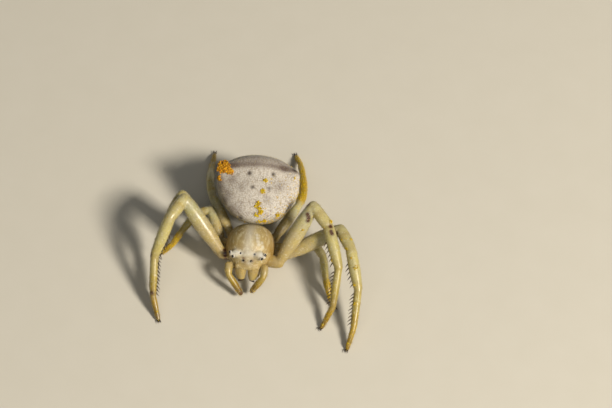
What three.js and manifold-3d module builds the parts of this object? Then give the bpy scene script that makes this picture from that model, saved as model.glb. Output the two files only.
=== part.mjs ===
import * as THREE from 'three';
import * as BufferGeometryUtils from 'three/addons/utils/BufferGeometryUtils.js';
import Module from 'manifold-3d';

// A female flower crab spider as a still model at life size, in millimetres, +Z up.
// Its head faces -Y and its left side is +X. Places are measured from the point on the floor
// below the middle of the carapace, and the last group moves that point to its place in the model.

const wasm = await Module();
wasm.setup();

// Where the middle of the carapace stands in the model, whose origin is the middle of its footprint
const CARAPACE_X = -0.6;
const CARAPACE_Y = -1.4;

// The legs are about half a millimetre thick, so pieces part by a tenth of a millimetre
const GAP = 0.1;

// Carapace
const CARAPACE_FRONT = -1.48;
const CARAPACE_REAR = 1.75;
const CARAPACE_MARGIN = 1.6;
const CARAPACE_GRID = [24, 14];
const STERNUM_GRID = [14, 8];
const TUBERCLE_ROOT = [0.5, -0.8, 2.4];
const TUBERCLE_TIP = [1.0, -1.06, 2.52];
const TUBERCLE_RADII = [0.36, 0.3, 0.17];
const TUBERCLE_SIDES = 10;

// The narrow stalk between carapace and abdomen
const STALK = { from: [0, 1.2, 1.8], to: [0.1, 1.95, 2.3], radii: [0.24, 0.22], sides: 8 };

// Abdomen, which hangs over the rear of the carapace and is widest at its two humps; it is carried
// a little to the left, turned to the right and rolled to the left about its own axis
const ABDOMEN_FRONT = 1.22;
const ABDOMEN_REAR = 6.25;
const ABDOMEN_AXIS = 2.9;
const ABDOMEN_SHIFT = 0.27;
const ABDOMEN_TURN = THREE.MathUtils.degToRad(5.4);
const ABDOMEN_ROLL = THREE.MathUtils.degToRad(5.9);
const ABDOMEN_GRID = [32, 22];
const HUMP = { x: 2.38, y: 4.2, z: 4.3, reach: 0.66, spread: 0.55, way: [0.85, 0.1, 0.55] };

// Spinnerets: a short base under the rear end and a ring of four round it
const SPINNERETS = {
  behindFront: 4.4,
  height: 1.25,
  droop: 0.55,
  baseLength: 0.3,
  baseRadii: [0.42, 0.36],
  count: 4,
  ringRadius: 0.17,
  length: 0.36,
  radii: [0.15, 0.11],
  sides: 8,
};

// Jaws and palps on the left side; the two palps are bent a little differently
const CHELICERA = { root: [0.37, -1.2, 1.8], tip: [0.34, -1.74, 1.05], radii: [0.3, 0.31, 0.25], sides: 12 };
const PALP_ROOT = [0.62, -1.0, 1.25];
const PALP_RADII = [[0.17, 0.22, 0.23], [0.23, 0.24, 0.2], [0.2, 0.21, 0.16]];
const PALP_SIDES = 8;
const PALPS = {
  l: [[1.1, -1.27, 1.65], [1.05, -1.85, 1.4], [0.4, -2.33, 0.55]],
  r: [[1.2, -1.3, 1.65], [1.1, -1.85, 1.4], [0.27, -2.55, 0.5]],
};

// Where a coxa leaves the middle of the body, as shares of its hip's place, and how much higher
const COXA_ROOT = { x: 0.42, y: 0.6, z: 0.55, higher: 0.5 };

// A coxa is this much thicker than the femur's root, and again at its middle
const COXA_EXTRA = 0.08;
const COXA_SWELLING = 0.03;
const LEG_SIDES = 8;

// Tips of the legs: the middle of the last ball is this high, and the ball is cut flat at the floor
const TOE_HEIGHT = 0.1;

// Eyes: radii, where the middle ones lie on the carapace, how far the outer ones lie from the tip
// of their tubercle, and the gap between an eye and its socket
const MEDIAN_EYE = 0.075;
const LATERAL_EYE = 0.09;
const FRONT_MIDDLE_EYE = [0.24, -1.29];
const REAR_MIDDLE_EYE = [0.44, -1.0];
const FRONT_OUTER_EYE = [-0.1, -0.17, 0.03];
const REAR_OUTER_EYE = [0.09, 0.06, 0.13];
const SOCKET_GAP = 0.03;

// Each pair of legs: where the leg leaves the coxa on the left side, the lengths of femur, patella,
// tibia, metatarsus and tarsus, and the radii along each of them
const PAIRS = {
  1: {
    hip: [1.9, -0.75, 1.6],
    lengths: [4.2, 1.6, 2.62, 2.47, 1.49],
    radii: [
      [0.3, 0.47, 0.5, 0.36], [0.36, 0.39, 0.36], [0.35, 0.37, 0.29],
      [0.24, 0.25, 0.21], [0.2, 0.18, 0.14],
    ],
  },
  2: {
    hip: [2.05, -0.02, 1.25],
    lengths: [4.15, 1.53, 2.57, 2.37, 1.4],
    radii: [
      [0.3, 0.45, 0.48, 0.35], [0.35, 0.38, 0.35], [0.34, 0.36, 0.28],
      [0.24, 0.24, 0.2], [0.19, 0.17, 0.14],
    ],
  },
  3: {
    hip: [1.85, 0.75, 1.1],
    lengths: [2.18, 0.95, 1.42, 1.0, 0.85],
    radii: [
      [0.24, 0.32, 0.32, 0.25], [0.25, 0.27, 0.25], [0.24, 0.25, 0.2],
      [0.2, 0.21, 0.18], [0.18, 0.17, 0.14],
    ],
  },
  4: {
    hip: [1.4, 1.48, 1.05],
    lengths: [2.65, 1.0, 1.8, 1.27, 1.0],
    radii: [
      [0.24, 0.33, 0.33, 0.26], [0.26, 0.28, 0.26], [0.25, 0.26, 0.2],
      [0.19, 0.19, 0.16], [0.16, 0.15, 0.13],
    ],
  },
};

// The pose: the way each segment points, in degrees. Turn runs from straight out sideways, and is
// positive to the rear; lift is positive upwards. The tarsus takes the lift that sets it on the floor.
// A hip here is that of a coxa which the leg has pulled out of its usual place.
const POSE = {
  l1: { turn: [55, -45, -68, -94, -123], lift: [40, -19, -26, -37] },
  r1: { turn: [38, -65, -66, -94, -112], lift: [39, -5, -42, -39], hip: [1.7, -0.5, 1.7] },
  l2: { turn: [18, -59, -72, -91, -104], lift: [28, -4, -27, -26] },
  r2: { turn: [42, -70, -62, -91, -106], lift: [35, -7, -49, -18], hip: [1.98, 0.05, 1.15] },
  l3: { turn: [5, -53, -77, -69, -60], lift: [9, -4, -16, -29] },
  r3: { turn: [62, -19, -54, -48, -35], lift: [22, -11, -22, -41] },
  l4: { turn: [62, 80, 98, 104, 113], lift: [10, -6, -14, -20] },
  r4: { turn: [56, 74, 84, 87, 90], lift: [21, 3, -30, -32] },
};

// Rows of stout spines on the inner side of the tibia and metatarsus of the first two pairs
const SPINES = {
  perRow: 5,
  length: 0.42,
  root: 0.065,
  sunk: 0.1,
  depth: 0.9,
  rowAngle: THREE.MathUtils.degToRad(32),
  lean: THREE.MathUtils.degToRad(30),
  downwards: 0.5,
  sides: 5,
  tibia: [0.42, 0.95],
  metatarsus: [0.2, 0.95],
};

// The two claws of each foot
const CLAWS = { length: 0.3, root: 0.06, sunk: 0.05, halfGap: 0.06, splay: 0.35, sides: 5 };

const finish = {
  carapace: new THREE.MeshStandardMaterial({ color: 0xd9c08e, roughness: 0.35, metalness: 0 }),
  abdomen: new THREE.MeshStandardMaterial({ color: 0xcfc6bb, roughness: 0.6, metalness: 0 }),
  leg: new THREE.MeshStandardMaterial({ color: 0xe2d3a0, roughness: 0.3, metalness: 0 }),
  mouth: new THREE.MeshStandardMaterial({ color: 0xd8c183, roughness: 0.35, metalness: 0 }),
  eye: new THREE.MeshStandardMaterial({ color: 0x14100d, roughness: 0.08, metalness: 0 }),
};

// A closed geometry as a solid that can be joined and cut
function solidOf(geometry) {
  geometry.deleteAttribute('normal');
  geometry.deleteAttribute('uv');
  const merged = BufferGeometryUtils.mergeVertices(geometry, 1e-5);
  return new wasm.Manifold(new wasm.Mesh({
    numProp: 3,
    vertProperties: new Float32Array(merged.attributes.position.array),
    triVerts: new Uint32Array(merged.index.array),
  }));
}

// The largest closed body of a solid, without loose scraps
function largest(solid) {
  const bodies = solid.decompose();
  bodies.sort((a, b) => b.volume() - a.volume());
  return bodies[0];
}

function joined(solids) {
  return solids.reduce((whole, piece) => whole.add(piece));
}

function namedMesh(name, solid, material) {
  const result = largest(solid).getMesh();
  const geometry = new THREE.BufferGeometry();
  geometry.setAttribute('position', new THREE.BufferAttribute(new Float32Array(result.vertProperties), 3));
  geometry.setIndex(new THREE.BufferAttribute(new Uint32Array(result.triVerts), 1));
  geometry.computeVertexNormals();
  const mesh = new THREE.Mesh(geometry, material);
  mesh.name = name;
  return mesh;
}

// A smooth curve through evenly spaced values, read from 0 at its start to 1 at its end
function through(...values) {
  const curve = new THREE.SplineCurve(values.map((value, i) => new THREE.Vector2(i, value)));
  return (t) => curve.getPoint(t).y;
}

// A body along Y from a sphere: each ring takes its width, the height of its widest line, and how
// far it rises and hangs from that line, and grow swells it all over
function swollen(form, around, along, grow = 0) {
  const { front, rear, width, middle, rise, hang, keel = 0 } = form;
  const geometry = new THREE.SphereGeometry(1, around, along);
  const place = geometry.attributes.position;
  for (let i = 0; i < place.count; i += 1) {
    const t = THREE.MathUtils.clamp((1 - place.getY(i)) / 2, 0, 1);
    const up = place.getZ(i);
    const height = (up > 0 ? rise(t) : hang(t)) + grow;
    const narrowing = up > 0 ? 1 : 1 - keel * up * up;
    place.setXYZ(
      i,
      -place.getX(i) * (width(t) + grow) * narrowing,
      THREE.MathUtils.lerp(front - grow, rear + grow, t),
      middle(t) + up * height,
    );
  }
  return geometry;
}

// A turned limb segment between two points, with round ends, its radii evenly spaced along it
function spindle(from, to, radii, sides, grow = 0) {
  const length = from.distanceTo(to);
  const radius = through(...radii);
  const stations = 4;
  const capSteps = 2;
  const outline = [];
  for (let i = 0; i <= capSteps; i += 1) {
    const angle = (i / capSteps) * (Math.PI / 2);
    const r = radii[0] + grow;
    outline.push(new THREE.Vector2(i === 0 ? 0 : r * Math.sin(angle), -r * Math.cos(angle)));
  }
  for (let i = 1; i < stations; i += 1) {
    const t = i / stations;
    outline.push(new THREE.Vector2(radius(t) + grow, t * length));
  }
  for (let i = capSteps; i >= 0; i -= 1) {
    const angle = (i / capSteps) * (Math.PI / 2);
    const r = radii[radii.length - 1] + grow;
    outline.push(new THREE.Vector2(i === 0 ? 0 : r * Math.sin(angle), length + r * Math.cos(angle)));
  }
  const geometry = new THREE.LatheGeometry(outline, sides);
  const way = to.clone().sub(from).normalize();
  geometry.applyQuaternion(new THREE.Quaternion().setFromUnitVectors(new THREE.Vector3(0, 1, 0), way));
  geometry.translate(from.x, from.y, from.z);
  return solidOf(geometry);
}

function ball(centre, radius, around = 8, along = 6) {
  const geometry = new THREE.SphereGeometry(radius, around, along);
  geometry.translate(centre.x, centre.y, centre.z);
  return solidOf(geometry);
}

// A tapered spine or claw with its root sunk below the surface point it stands on
function spike(root, way, length, radius, sunk, sides) {
  const outline = [
    new THREE.Vector2(0, -sunk),
    new THREE.Vector2(radius, -sunk),
    new THREE.Vector2(0, length),
  ];
  const geometry = new THREE.LatheGeometry(outline, sides);
  geometry.applyQuaternion(new THREE.Quaternion().setFromUnitVectors(new THREE.Vector3(0, 1, 0), way));
  geometry.translate(root.x, root.y, root.z);
  return solidOf(geometry);
}

const at = ([x, y, z], side = 1) => new THREE.Vector3(x * side, y, z);
const sideOf = (leg) => (leg[0] === 'l' ? 1 : -1);

// Carapace: nearly round from above, steep in front below the eyes, sloping to the rear
const CARAPACE = {
  front: CARAPACE_FRONT,
  rear: CARAPACE_REAR,
  width: through(1.45, 1.58, 1.55, 1.6, 1.9),
  middle: () => CARAPACE_MARGIN,
  rise: through(1.55, 1.6, 1.5, 1.4, 1.3),
  hang: () => 0.4,
};

// The sternum and mouth parts below it
const STERNUM = {
  front: -1.2,
  rear: 1.35,
  width: through(0.95, 1.15, 1.1, 0.95, 0.8),
  middle: () => 1.35,
  rise: () => 0.4,
  hang: () => 0.62,
};

const ABDOMEN = {
  front: ABDOMEN_FRONT,
  rear: ABDOMEN_REAR,
  width: through(2.6, 2.4, 2.57, 2.43, 2.0),
  middle: through(2.95, 3.1, 3.25, 3.35, 2.65),
  rise: through(0.9, 0.95, 1.05, 1.42, 1.3),
  hang: through(1.3, 2.2, 2.75, 2.75, 2.0),
  keel: 0.3,
};

// Height of the carapace's upper surface over a point of its plan
function carapaceTop(x, y) {
  const t = (y - CARAPACE.front) / (CARAPACE.rear - CARAPACE.front);
  const ring = 2 * Math.sqrt(t * (1 - t));
  const across = x / (CARAPACE.width(t) * ring);
  return CARAPACE.middle(t) + CARAPACE.rise(t) * ring * Math.sqrt(1 - across * across);
}

const hipOf = (leg) => at(POSE[leg].hip ?? PAIRS[leg[1]].hip, sideOf(leg));

// The places of the joints of a leg, from the coxa to the tip of the tarsus
function jointsOf(leg) {
  const { lengths } = PAIRS[leg[1]];
  const { turn, lift } = POSE[leg];
  const side = sideOf(leg);
  const joints = [hipOf(leg)];
  lengths.forEach((length, i) => {
    const start = joints[i];
    const toFloor = Math.asin((TOE_HEIGHT - start.z) / length);
    const up = i < lift.length ? THREE.MathUtils.degToRad(lift[i]) : toFloor;
    const round = THREE.MathUtils.degToRad(turn[i]);
    const way = new THREE.Vector3(
      side * Math.cos(round) * Math.cos(up),
      Math.sin(round) * Math.cos(up),
      Math.sin(up),
    );
    joints.push(start.clone().addScaledVector(way, length));
  });
  return joints;
}

// Two rows of spines on the inner, lower side of a segment, from start to end of its length
function spineRows(from, to, radii, [start, end]) {
  const way = to.clone().sub(from).normalize();
  const inwards = new THREE.Vector3(-Math.sign(from.x), 0, -SPINES.downwards);
  inwards.addScaledVector(way, -inwards.dot(way)).normalize();
  const radius = through(...radii);
  const length = from.distanceTo(to);
  const spines = [];
  for (const row of [-1, 1]) {
    const out = inwards.clone().applyAxisAngle(way, row * SPINES.rowAngle);
    const point = out.clone().multiplyScalar(Math.cos(SPINES.lean));
    point.addScaledVector(way, Math.sin(SPINES.lean));
    for (let i = 0; i < SPINES.perRow; i += 1) {
      const step = row < 0 ? i : i + 0.5;
      const t = THREE.MathUtils.lerp(start, end, step / SPINES.perRow);
      const root = from.clone().addScaledVector(way, t * length);
      root.addScaledVector(out, radius(t) * SPINES.depth);
      spines.push(spike(root, point, SPINES.length, SPINES.root, SPINES.sunk, SPINES.sides));
    }
  }
  return spines;
}

// The two claws at the tip of a tarsus, level with the floor
function claws(ankle, toe) {
  const way = toe.clone().sub(ankle).setZ(0).normalize();
  const across = new THREE.Vector3(-way.y, way.x, 0);
  return [-1, 1].map((side) => {
    const point = way.clone().addScaledVector(across, side * CLAWS.splay).normalize();
    const root = toe.clone().addScaledVector(across, side * CLAWS.halfGap);
    return spike(root, point, CLAWS.length, CLAWS.root, CLAWS.sunk, CLAWS.sides);
  });
}

// One leg as three solids: trochanter with femur, patella with tibia, metatarsus with tarsus
function makeLeg(leg) {
  const { radii } = PAIRS[leg[1]];
  const [hip, knee, shin, ankle, heel, toe] = jointsOf(leg);
  const hasSpines = leg[1] < 3;
  const femur = spindle(hip, knee, radii[0], LEG_SIDES);
  const tibia = [spindle(knee, shin, radii[1], LEG_SIDES), spindle(shin, ankle, radii[2], LEG_SIDES)];
  const foot = [spindle(ankle, heel, radii[3], LEG_SIDES), spindle(heel, toe, radii[4], LEG_SIDES)];
  const footGrown = spindle(ankle, heel, radii[3], LEG_SIDES, GAP);
  const patellaGrown = spindle(knee, shin, radii[1], LEG_SIDES, GAP);
  if (hasSpines) {
    tibia.push(...spineRows(shin, ankle, radii[2], SPINES.tibia));
    foot.push(...spineRows(ankle, heel, radii[3], SPINES.metatarsus));
  }
  foot.push(...claws(heel, toe));
  return {
    femur: femur.subtract(patellaGrown),
    tibia: joined(tibia).subtract(footGrown),
    foot: joined(foot).subtract(floorBlock()),
    hipGrown: spindle(hip, knee, radii[0], LEG_SIDES, GAP),
  };
}

// Everything below the floor, cut away so that each foot rests on a small flat
function floorBlock() {
  const depth = 2;
  const reach = 30;
  const geometry = new THREE.BoxGeometry(reach, reach, depth);
  geometry.translate(0, 0, -depth / 2);
  return solidOf(geometry);
}

function makeStalk(grow = 0) {
  return spindle(at(STALK.from), at(STALK.to), STALK.radii, STALK.sides, grow);
}

// Where the coxa of a leg leaves the middle of the body
function coxaRoot(hip) {
  const { x, y, z, higher } = COXA_ROOT;
  return new THREE.Vector3(hip.x * x, hip.y * y, hip.z * z + higher);
}

// Carapace, sternum, eye tubercles, coxae and the stalk to the abdomen as one solid
function makeCephalothorax(legs) {
  const solids = [solidOf(swollen(CARAPACE, ...CARAPACE_GRID)), solidOf(swollen(STERNUM, ...STERNUM_GRID))];
  for (const side of [-1, 1]) {
    solids.push(spindle(at(TUBERCLE_ROOT, side), at(TUBERCLE_TIP, side), TUBERCLE_RADII, TUBERCLE_SIDES));
  }
  for (const leg of Object.keys(legs)) {
    const hip = hipOf(leg);
    const thick = PAIRS[leg[1]].radii[0][0] + COXA_EXTRA;
    solids.push(spindle(coxaRoot(hip), hip, [thick, thick + COXA_SWELLING, thick], LEG_SIDES));
  }
  solids.push(makeStalk());
  const whole = joined(solids);
  return Object.values(legs).reduce((body, leg) => body.subtract(leg.hipGrown), whole);
}

// From the abdomen's own frame to where the spider carries it
const ABDOMEN_PLACE = new THREE.Matrix4()
  .makeTranslation(ABDOMEN_SHIFT, ABDOMEN_FRONT, ABDOMEN_AXIS)
  .multiply(new THREE.Matrix4().makeRotationZ(ABDOMEN_TURN))
  .multiply(new THREE.Matrix4().makeRotationY(ABDOMEN_ROLL))
  .multiply(new THREE.Matrix4().makeTranslation(0, -ABDOMEN_FRONT, -ABDOMEN_AXIS));

// Abdomen with a conical hump at each rear corner, cut clear of the carapace that it overhangs
function makeAbdomen(grow = 0) {
  const geometry = swollen(ABDOMEN, ...ABDOMEN_GRID, grow);
  const place = geometry.attributes.position;
  const corner = new THREE.Vector3();
  const point = new THREE.Vector3();
  const outwards = new THREE.Vector3();
  for (let i = 0; i < place.count; i += 1) {
    point.fromBufferAttribute(place, i);
    const side = point.x < 0 ? -1 : 1;
    corner.set(side * HUMP.x, HUMP.y, HUMP.z);
    outwards.set(side * HUMP.way[0], HUMP.way[1], HUMP.way[2]).normalize();
    const near = Math.exp(-point.distanceToSquared(corner) / (HUMP.spread * HUMP.spread));
    point.addScaledVector(outwards, HUMP.reach * near);
    place.setXYZ(i, point.x, point.y, point.z);
  }
  geometry.applyMatrix4(ABDOMEN_PLACE);
  const clearance = solidOf(swollen(CARAPACE, ...CARAPACE_GRID, GAP));
  return solidOf(geometry).subtract(clearance).subtract(makeStalk(GAP));
}

// A cluster of short blunt spinnerets under the rear end of the abdomen
function makeSpinnerets() {
  const { behindFront, height, droop, baseLength, baseRadii } = SPINNERETS;
  const { count, ringRadius, length, radii, sides } = SPINNERETS;
  const middle = new THREE.Vector3(0, ABDOMEN_FRONT + behindFront, height).applyMatrix4(ABDOMEN_PLACE);
  const way = new THREE.Vector3(0, 1, -droop).transformDirection(ABDOMEN_PLACE);
  const pieces = [spindle(middle.clone().addScaledVector(way, -baseLength), middle, baseRadii, sides)];
  for (let i = 0; i < count; i += 1) {
    const angle = ((i + 0.5) / count) * 2 * Math.PI;
    const round = new THREE.Vector3(Math.cos(angle), 0, Math.sin(angle));
    const root = middle.clone().addScaledVector(round, ringRadius);
    pieces.push(spindle(root, root.clone().addScaledVector(way, length), radii, sides));
  }
  return joined(pieces);
}

// A jaw: stout base under the face, narrowing down to the folded fang
function makeChelicera(side, grow = 0) {
  return spindle(at(CHELICERA.root, side), at(CHELICERA.tip, side), CHELICERA.radii, CHELICERA.sides, grow);
}

// A palp: its femur reaches out beside the jaw, its end bends down in front of the mouth
function makePalp(side, letter) {
  const places = [PALP_ROOT, ...PALPS[letter]].map((place) => at(place, side));
  return joined(PALP_RADII.map((radii, i) => spindle(places[i], places[i + 1], radii, PALP_SIDES)));
}

// The eight eyes, two rows of four, the outer ones on the tubercles
function eyePlaces(side) {
  const onTop = ([x, y]) => ({ place: at([x, y, carapaceTop(x, y)], side), radius: MEDIAN_EYE });
  const onTubercle = (away) => {
    const place = TUBERCLE_TIP.map((value, i) => value + away[i]);
    return { place: at(place, side), radius: LATERAL_EYE };
  };
  return {
    front_middle: onTop(FRONT_MIDDLE_EYE),
    rear_middle: onTop(REAR_MIDDLE_EYE),
    front_outer: onTubercle(FRONT_OUTER_EYE),
    rear_outer: onTubercle(REAR_OUTER_EYE),
  };
}

const spider = new THREE.Group();
spider.position.set(CARAPACE_X, CARAPACE_Y, 0);

const legs = Object.fromEntries(Object.keys(POSE).map((leg) => [leg, makeLeg(leg)]));
for (const [leg, { femur, tibia, foot }] of Object.entries(legs)) {
  spider.add(namedMesh(`leg_${leg}_femur`, femur, finish.leg));
  spider.add(namedMesh(`leg_${leg}_tibia`, tibia, finish.leg));
  spider.add(namedMesh(`leg_${leg}_foot`, foot, finish.leg));
}

let cephalothorax = makeCephalothorax(legs);
for (const [side, letter] of [[1, 'l'], [-1, 'r']]) {
  for (const [name, { place, radius }] of Object.entries(eyePlaces(side))) {
    cephalothorax = cephalothorax.subtract(ball(place, radius + SOCKET_GAP));
    spider.add(namedMesh(`eye_${name}_${letter}`, ball(place, radius), finish.eye));
  }
}
spider.add(namedMesh('cephalothorax', cephalothorax, finish.carapace));

// What grows from the head end is cut clear of this swollen copy of it
const headClearance = solidOf(swollen(CARAPACE, ...CARAPACE_GRID, GAP))
  .add(solidOf(swollen(STERNUM, ...STERNUM_GRID, GAP)));
for (const [side, letter] of [[1, 'l'], [-1, 'r']]) {
  const jaw = makeChelicera(side).subtract(headClearance);
  const palp = makePalp(side, letter).subtract(headClearance).subtract(makeChelicera(side, GAP));
  spider.add(namedMesh(`chelicera_${letter}`, jaw, finish.mouth));
  spider.add(namedMesh(`palp_${letter}`, palp, finish.mouth));
}

spider.add(namedMesh('abdomen', makeAbdomen(), finish.abdomen));
spider.add(namedMesh('spinnerets', makeSpinnerets().subtract(makeAbdomen(GAP)), finish.abdomen));

const model = new THREE.Group();
model.add(spider);

export default model;
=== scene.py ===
import math

import bmesh
import bpy
import numpy as np
from mathutils import Matrix, Vector
from mathutils.bvhtree import BVHTree


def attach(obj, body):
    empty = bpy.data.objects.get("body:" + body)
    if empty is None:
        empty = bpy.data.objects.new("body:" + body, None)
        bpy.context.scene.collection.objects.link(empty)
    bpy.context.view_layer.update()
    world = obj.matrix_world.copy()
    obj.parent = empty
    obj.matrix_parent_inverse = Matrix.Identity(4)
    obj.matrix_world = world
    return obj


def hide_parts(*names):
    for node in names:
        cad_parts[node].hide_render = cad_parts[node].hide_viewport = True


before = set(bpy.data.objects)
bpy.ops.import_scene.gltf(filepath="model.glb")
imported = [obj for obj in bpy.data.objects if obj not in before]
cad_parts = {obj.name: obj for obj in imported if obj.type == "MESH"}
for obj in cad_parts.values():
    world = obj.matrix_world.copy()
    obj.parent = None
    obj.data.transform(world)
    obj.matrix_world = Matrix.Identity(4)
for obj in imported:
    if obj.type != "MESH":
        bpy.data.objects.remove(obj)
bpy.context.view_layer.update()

# A female flower crab spider as a still model at life size. Pieces are shaped in millimetres in the
# spider's own frame, its head to -Y, its left side to +X and the floor at 0, and each finished mesh
# is then moved to its place in the model and brought to metres.

draw = np.random.default_rng(7)

MILLIMETRE = 0.001
CARAPACE_PLACE = Vector((-0.6, -1.4, 0))
FLOOR_CLEARANCE = 0.002

# Camera: its picture in pixels, where it stands and what falls on the middle of its picture, in
# millimetres, and how near a thing it still sees, in metres
IMAGE_WIDTH = 612
IMAGE_HEIGHT = 408
PIXELS_PER_MM = 16
CAMERA_AZIMUTH = math.radians(6.6)
CAMERA_ELEVATION = math.radians(55)
CAMERA_DISTANCE = 250
AIM_RIGHT = 3.49
AIM_UP = 3.775
SENSOR_WIDTH = 36
CAMERA_CLIP_START = 0.01

# Carapace, sternum and abdomen: the two ends, and the sizes along the way from the front to the rear
CARAPACE_FRONT = -1.48
CARAPACE_REAR = 1.75
CARAPACE_MARGIN = 1.6
TUBERCLE_ROOT = (0.5, -0.8, 2.4)
TUBERCLE_TIP = (1.0, -1.06, 2.52)
TUBERCLE_RADII = (0.36, 0.3, 0.17)
STALK = ((0, 1.2, 1.8), (0.1, 1.95, 2.3))
STALK_RADII = (0.24, 0.22)
ABDOMEN_FRONT = 1.22
ABDOMEN_REAR = 6.25
ABDOMEN_AXIS = 2.9
ABDOMEN_SHIFT = 0.27
ABDOMEN_TURN = math.radians(5.4)
ABDOMEN_ROLL = math.radians(5.9)
HUMP_PLACE = (2.38, 4.2, 4.3)
HUMP_REACH = 0.66
HUMP_SPREAD = 0.55
HUMP_WAY = (0.85, 0.1, 0.55)

# Spinnerets
SPINNERETS_BEHIND_FRONT = 4.4
SPINNERETS_HEIGHT = 1.25
SPINNERETS_DROOP = 0.55

# Jaws, the endites beside them, the face above them, and palps on the left side
ENDITE_ROOT = (0.5, -0.95, 1.15)
ENDITE_TIP = (0.62, -1.5, 1.12)
ENDITE_RADII = (0.26, 0.26, 0.19)
CLYPEUS_CORNER = (0.6, -1.34, 1.76)
CLYPEUS_RADII = (0.22, 0.26, 0.22)
CHELICERA_ROOT = (0.37, -1.2, 1.8)
CHELICERA_TIP = (0.34, -1.74, 1.05)
CHELICERA_RADII = (0.3, 0.31, 0.25)
PALP_ROOT = (0.62, -1.0, 1.25)
PALP_RADII = ((0.17, 0.22, 0.23), (0.23, 0.24, 0.2), (0.2, 0.21, 0.16))
PALPS = {
    "l": ((1.1, -1.27, 1.65), (1.05, -1.85, 1.4), (0.4, -2.33, 0.55)),
    "r": ((1.2, -1.3, 1.65), (1.1, -1.85, 1.4), (0.27, -2.55, 0.5)),
}

# Eyes: radii, where the middle ones lie on the carapace, and how far the outer ones lie from the
# tip of their tubercle
MEDIAN_EYE = 0.075
LATERAL_EYE = 0.09
FRONT_MIDDLE_EYE = (0.24, -1.29)
REAR_MIDDLE_EYE = (0.44, -1.0)
FRONT_OUTER_EYE = (-0.1, -0.17, 0.03)
REAR_OUTER_EYE = (0.09, 0.06, 0.13)

# Legs: hip on the left side, lengths of femur, patella, tibia, metatarsus and tarsus, and the radii
# along each of them
TOE_HEIGHT = 0.1
COXA_EXTRA = 0.08
PAIRS = {
    1: {
        "hip": (1.9, -0.75, 1.6),
        "lengths": (4.2, 1.6, 2.62, 2.47, 1.49),
        "radii": (
            (0.3, 0.47, 0.5, 0.36),
            (0.36, 0.39, 0.36),
            (0.35, 0.37, 0.29),
            (0.24, 0.25, 0.21),
            (0.2, 0.18, 0.14),
        ),
    },
    2: {
        "hip": (2.05, -0.02, 1.25),
        "lengths": (4.15, 1.53, 2.57, 2.37, 1.4),
        "radii": (
            (0.3, 0.45, 0.48, 0.35),
            (0.35, 0.38, 0.35),
            (0.34, 0.36, 0.28),
            (0.24, 0.24, 0.2),
            (0.19, 0.17, 0.14),
        ),
    },
    3: {
        "hip": (1.85, 0.75, 1.1),
        "lengths": (2.18, 0.95, 1.42, 1.0, 0.85),
        "radii": (
            (0.24, 0.32, 0.32, 0.25),
            (0.25, 0.27, 0.25),
            (0.24, 0.25, 0.2),
            (0.2, 0.21, 0.18),
            (0.18, 0.17, 0.14),
        ),
    },
    4: {
        "hip": (1.4, 1.48, 1.05),
        "lengths": (2.65, 1.0, 1.8, 1.27, 1.0),
        "radii": (
            (0.24, 0.33, 0.33, 0.26),
            (0.26, 0.28, 0.26),
            (0.25, 0.26, 0.2),
            (0.19, 0.19, 0.16),
            (0.16, 0.15, 0.13),
        ),
    },
}

# The pose in degrees: turn runs from straight out sideways, positive to the rear, and lift is
# positive upwards. The tarsus takes the lift that sets it on the floor.
POSE = {
    "l1": {"turn": (55, -45, -68, -94, -123), "lift": (40, -19, -26, -37)},
    "r1": {"turn": (38, -65, -66, -94, -112), "lift": (39, -5, -42, -39), "hip": (1.7, -0.5, 1.7)},
    "l2": {"turn": (18, -59, -72, -91, -104), "lift": (28, -4, -27, -26)},
    "r2": {"turn": (42, -70, -62, -91, -106), "lift": (35, -7, -49, -18), "hip": (1.98, 0.05, 1.15)},
    "l3": {"turn": (5, -53, -77, -69, -60), "lift": (9, -4, -16, -29)},
    "r3": {"turn": (62, -19, -54, -48, -35), "lift": (22, -11, -22, -41)},
    "l4": {"turn": (62, 80, 98, 104, 113), "lift": (10, -6, -14, -20)},
    "r4": {"turn": (56, 74, 84, 87, 90), "lift": (21, 3, -30, -32)},
}

# Places along a leg as its skin counts them: 0 is the root of the coxa, and each segment adds one
COXA, FEMUR, PATELLA, TIBIA, METATARSUS, TARSUS, TIP = range(7)

# Skins: the grid that fuses their parts, and the rounds of smoothing after it
LEG_SKIN = (0.04, 5)
HEAD_SKIN = (0.035, 6)
MOUTH_SKIN = (0.03, 4)
SPINNERETS_SKIN = (0.03, 3)

# Limb segments: the groove at each end, and how finely they are turned
NECK_DEPTH = 0.1
NECK_LENGTH = 0.09
LIMB_SIDES = 24
LIMB_STATIONS = 20
LIMB_CAP_RINGS = 6

# A slanting line along which no two parts of a body are level
ORDER_WAY = Vector((0.311, 1, 0.173))


# Shapes

def through(*values):
    """A smooth curve through evenly spaced values, read from 0 at its start to 1 at its end."""
    knots = np.array(values, float)

    def read(t):
        place = np.clip(np.asarray(t, float), 0, 1) * (len(knots) - 1)
        i = np.minimum(place.astype(int), len(knots) - 2)
        w = place - i
        before, start, end, after = (knots[np.clip(i + k, 0, len(knots) - 1)] for k in (-1, 0, 1, 2))
        out = (end - before) / 2
        into = (after - start) / 2
        cubic = 2 * (start - end) + out + into
        square = 3 * (end - start) - 2 * out - into
        return ((cubic * w + square) * w + out) * w + start

    return read


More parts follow.
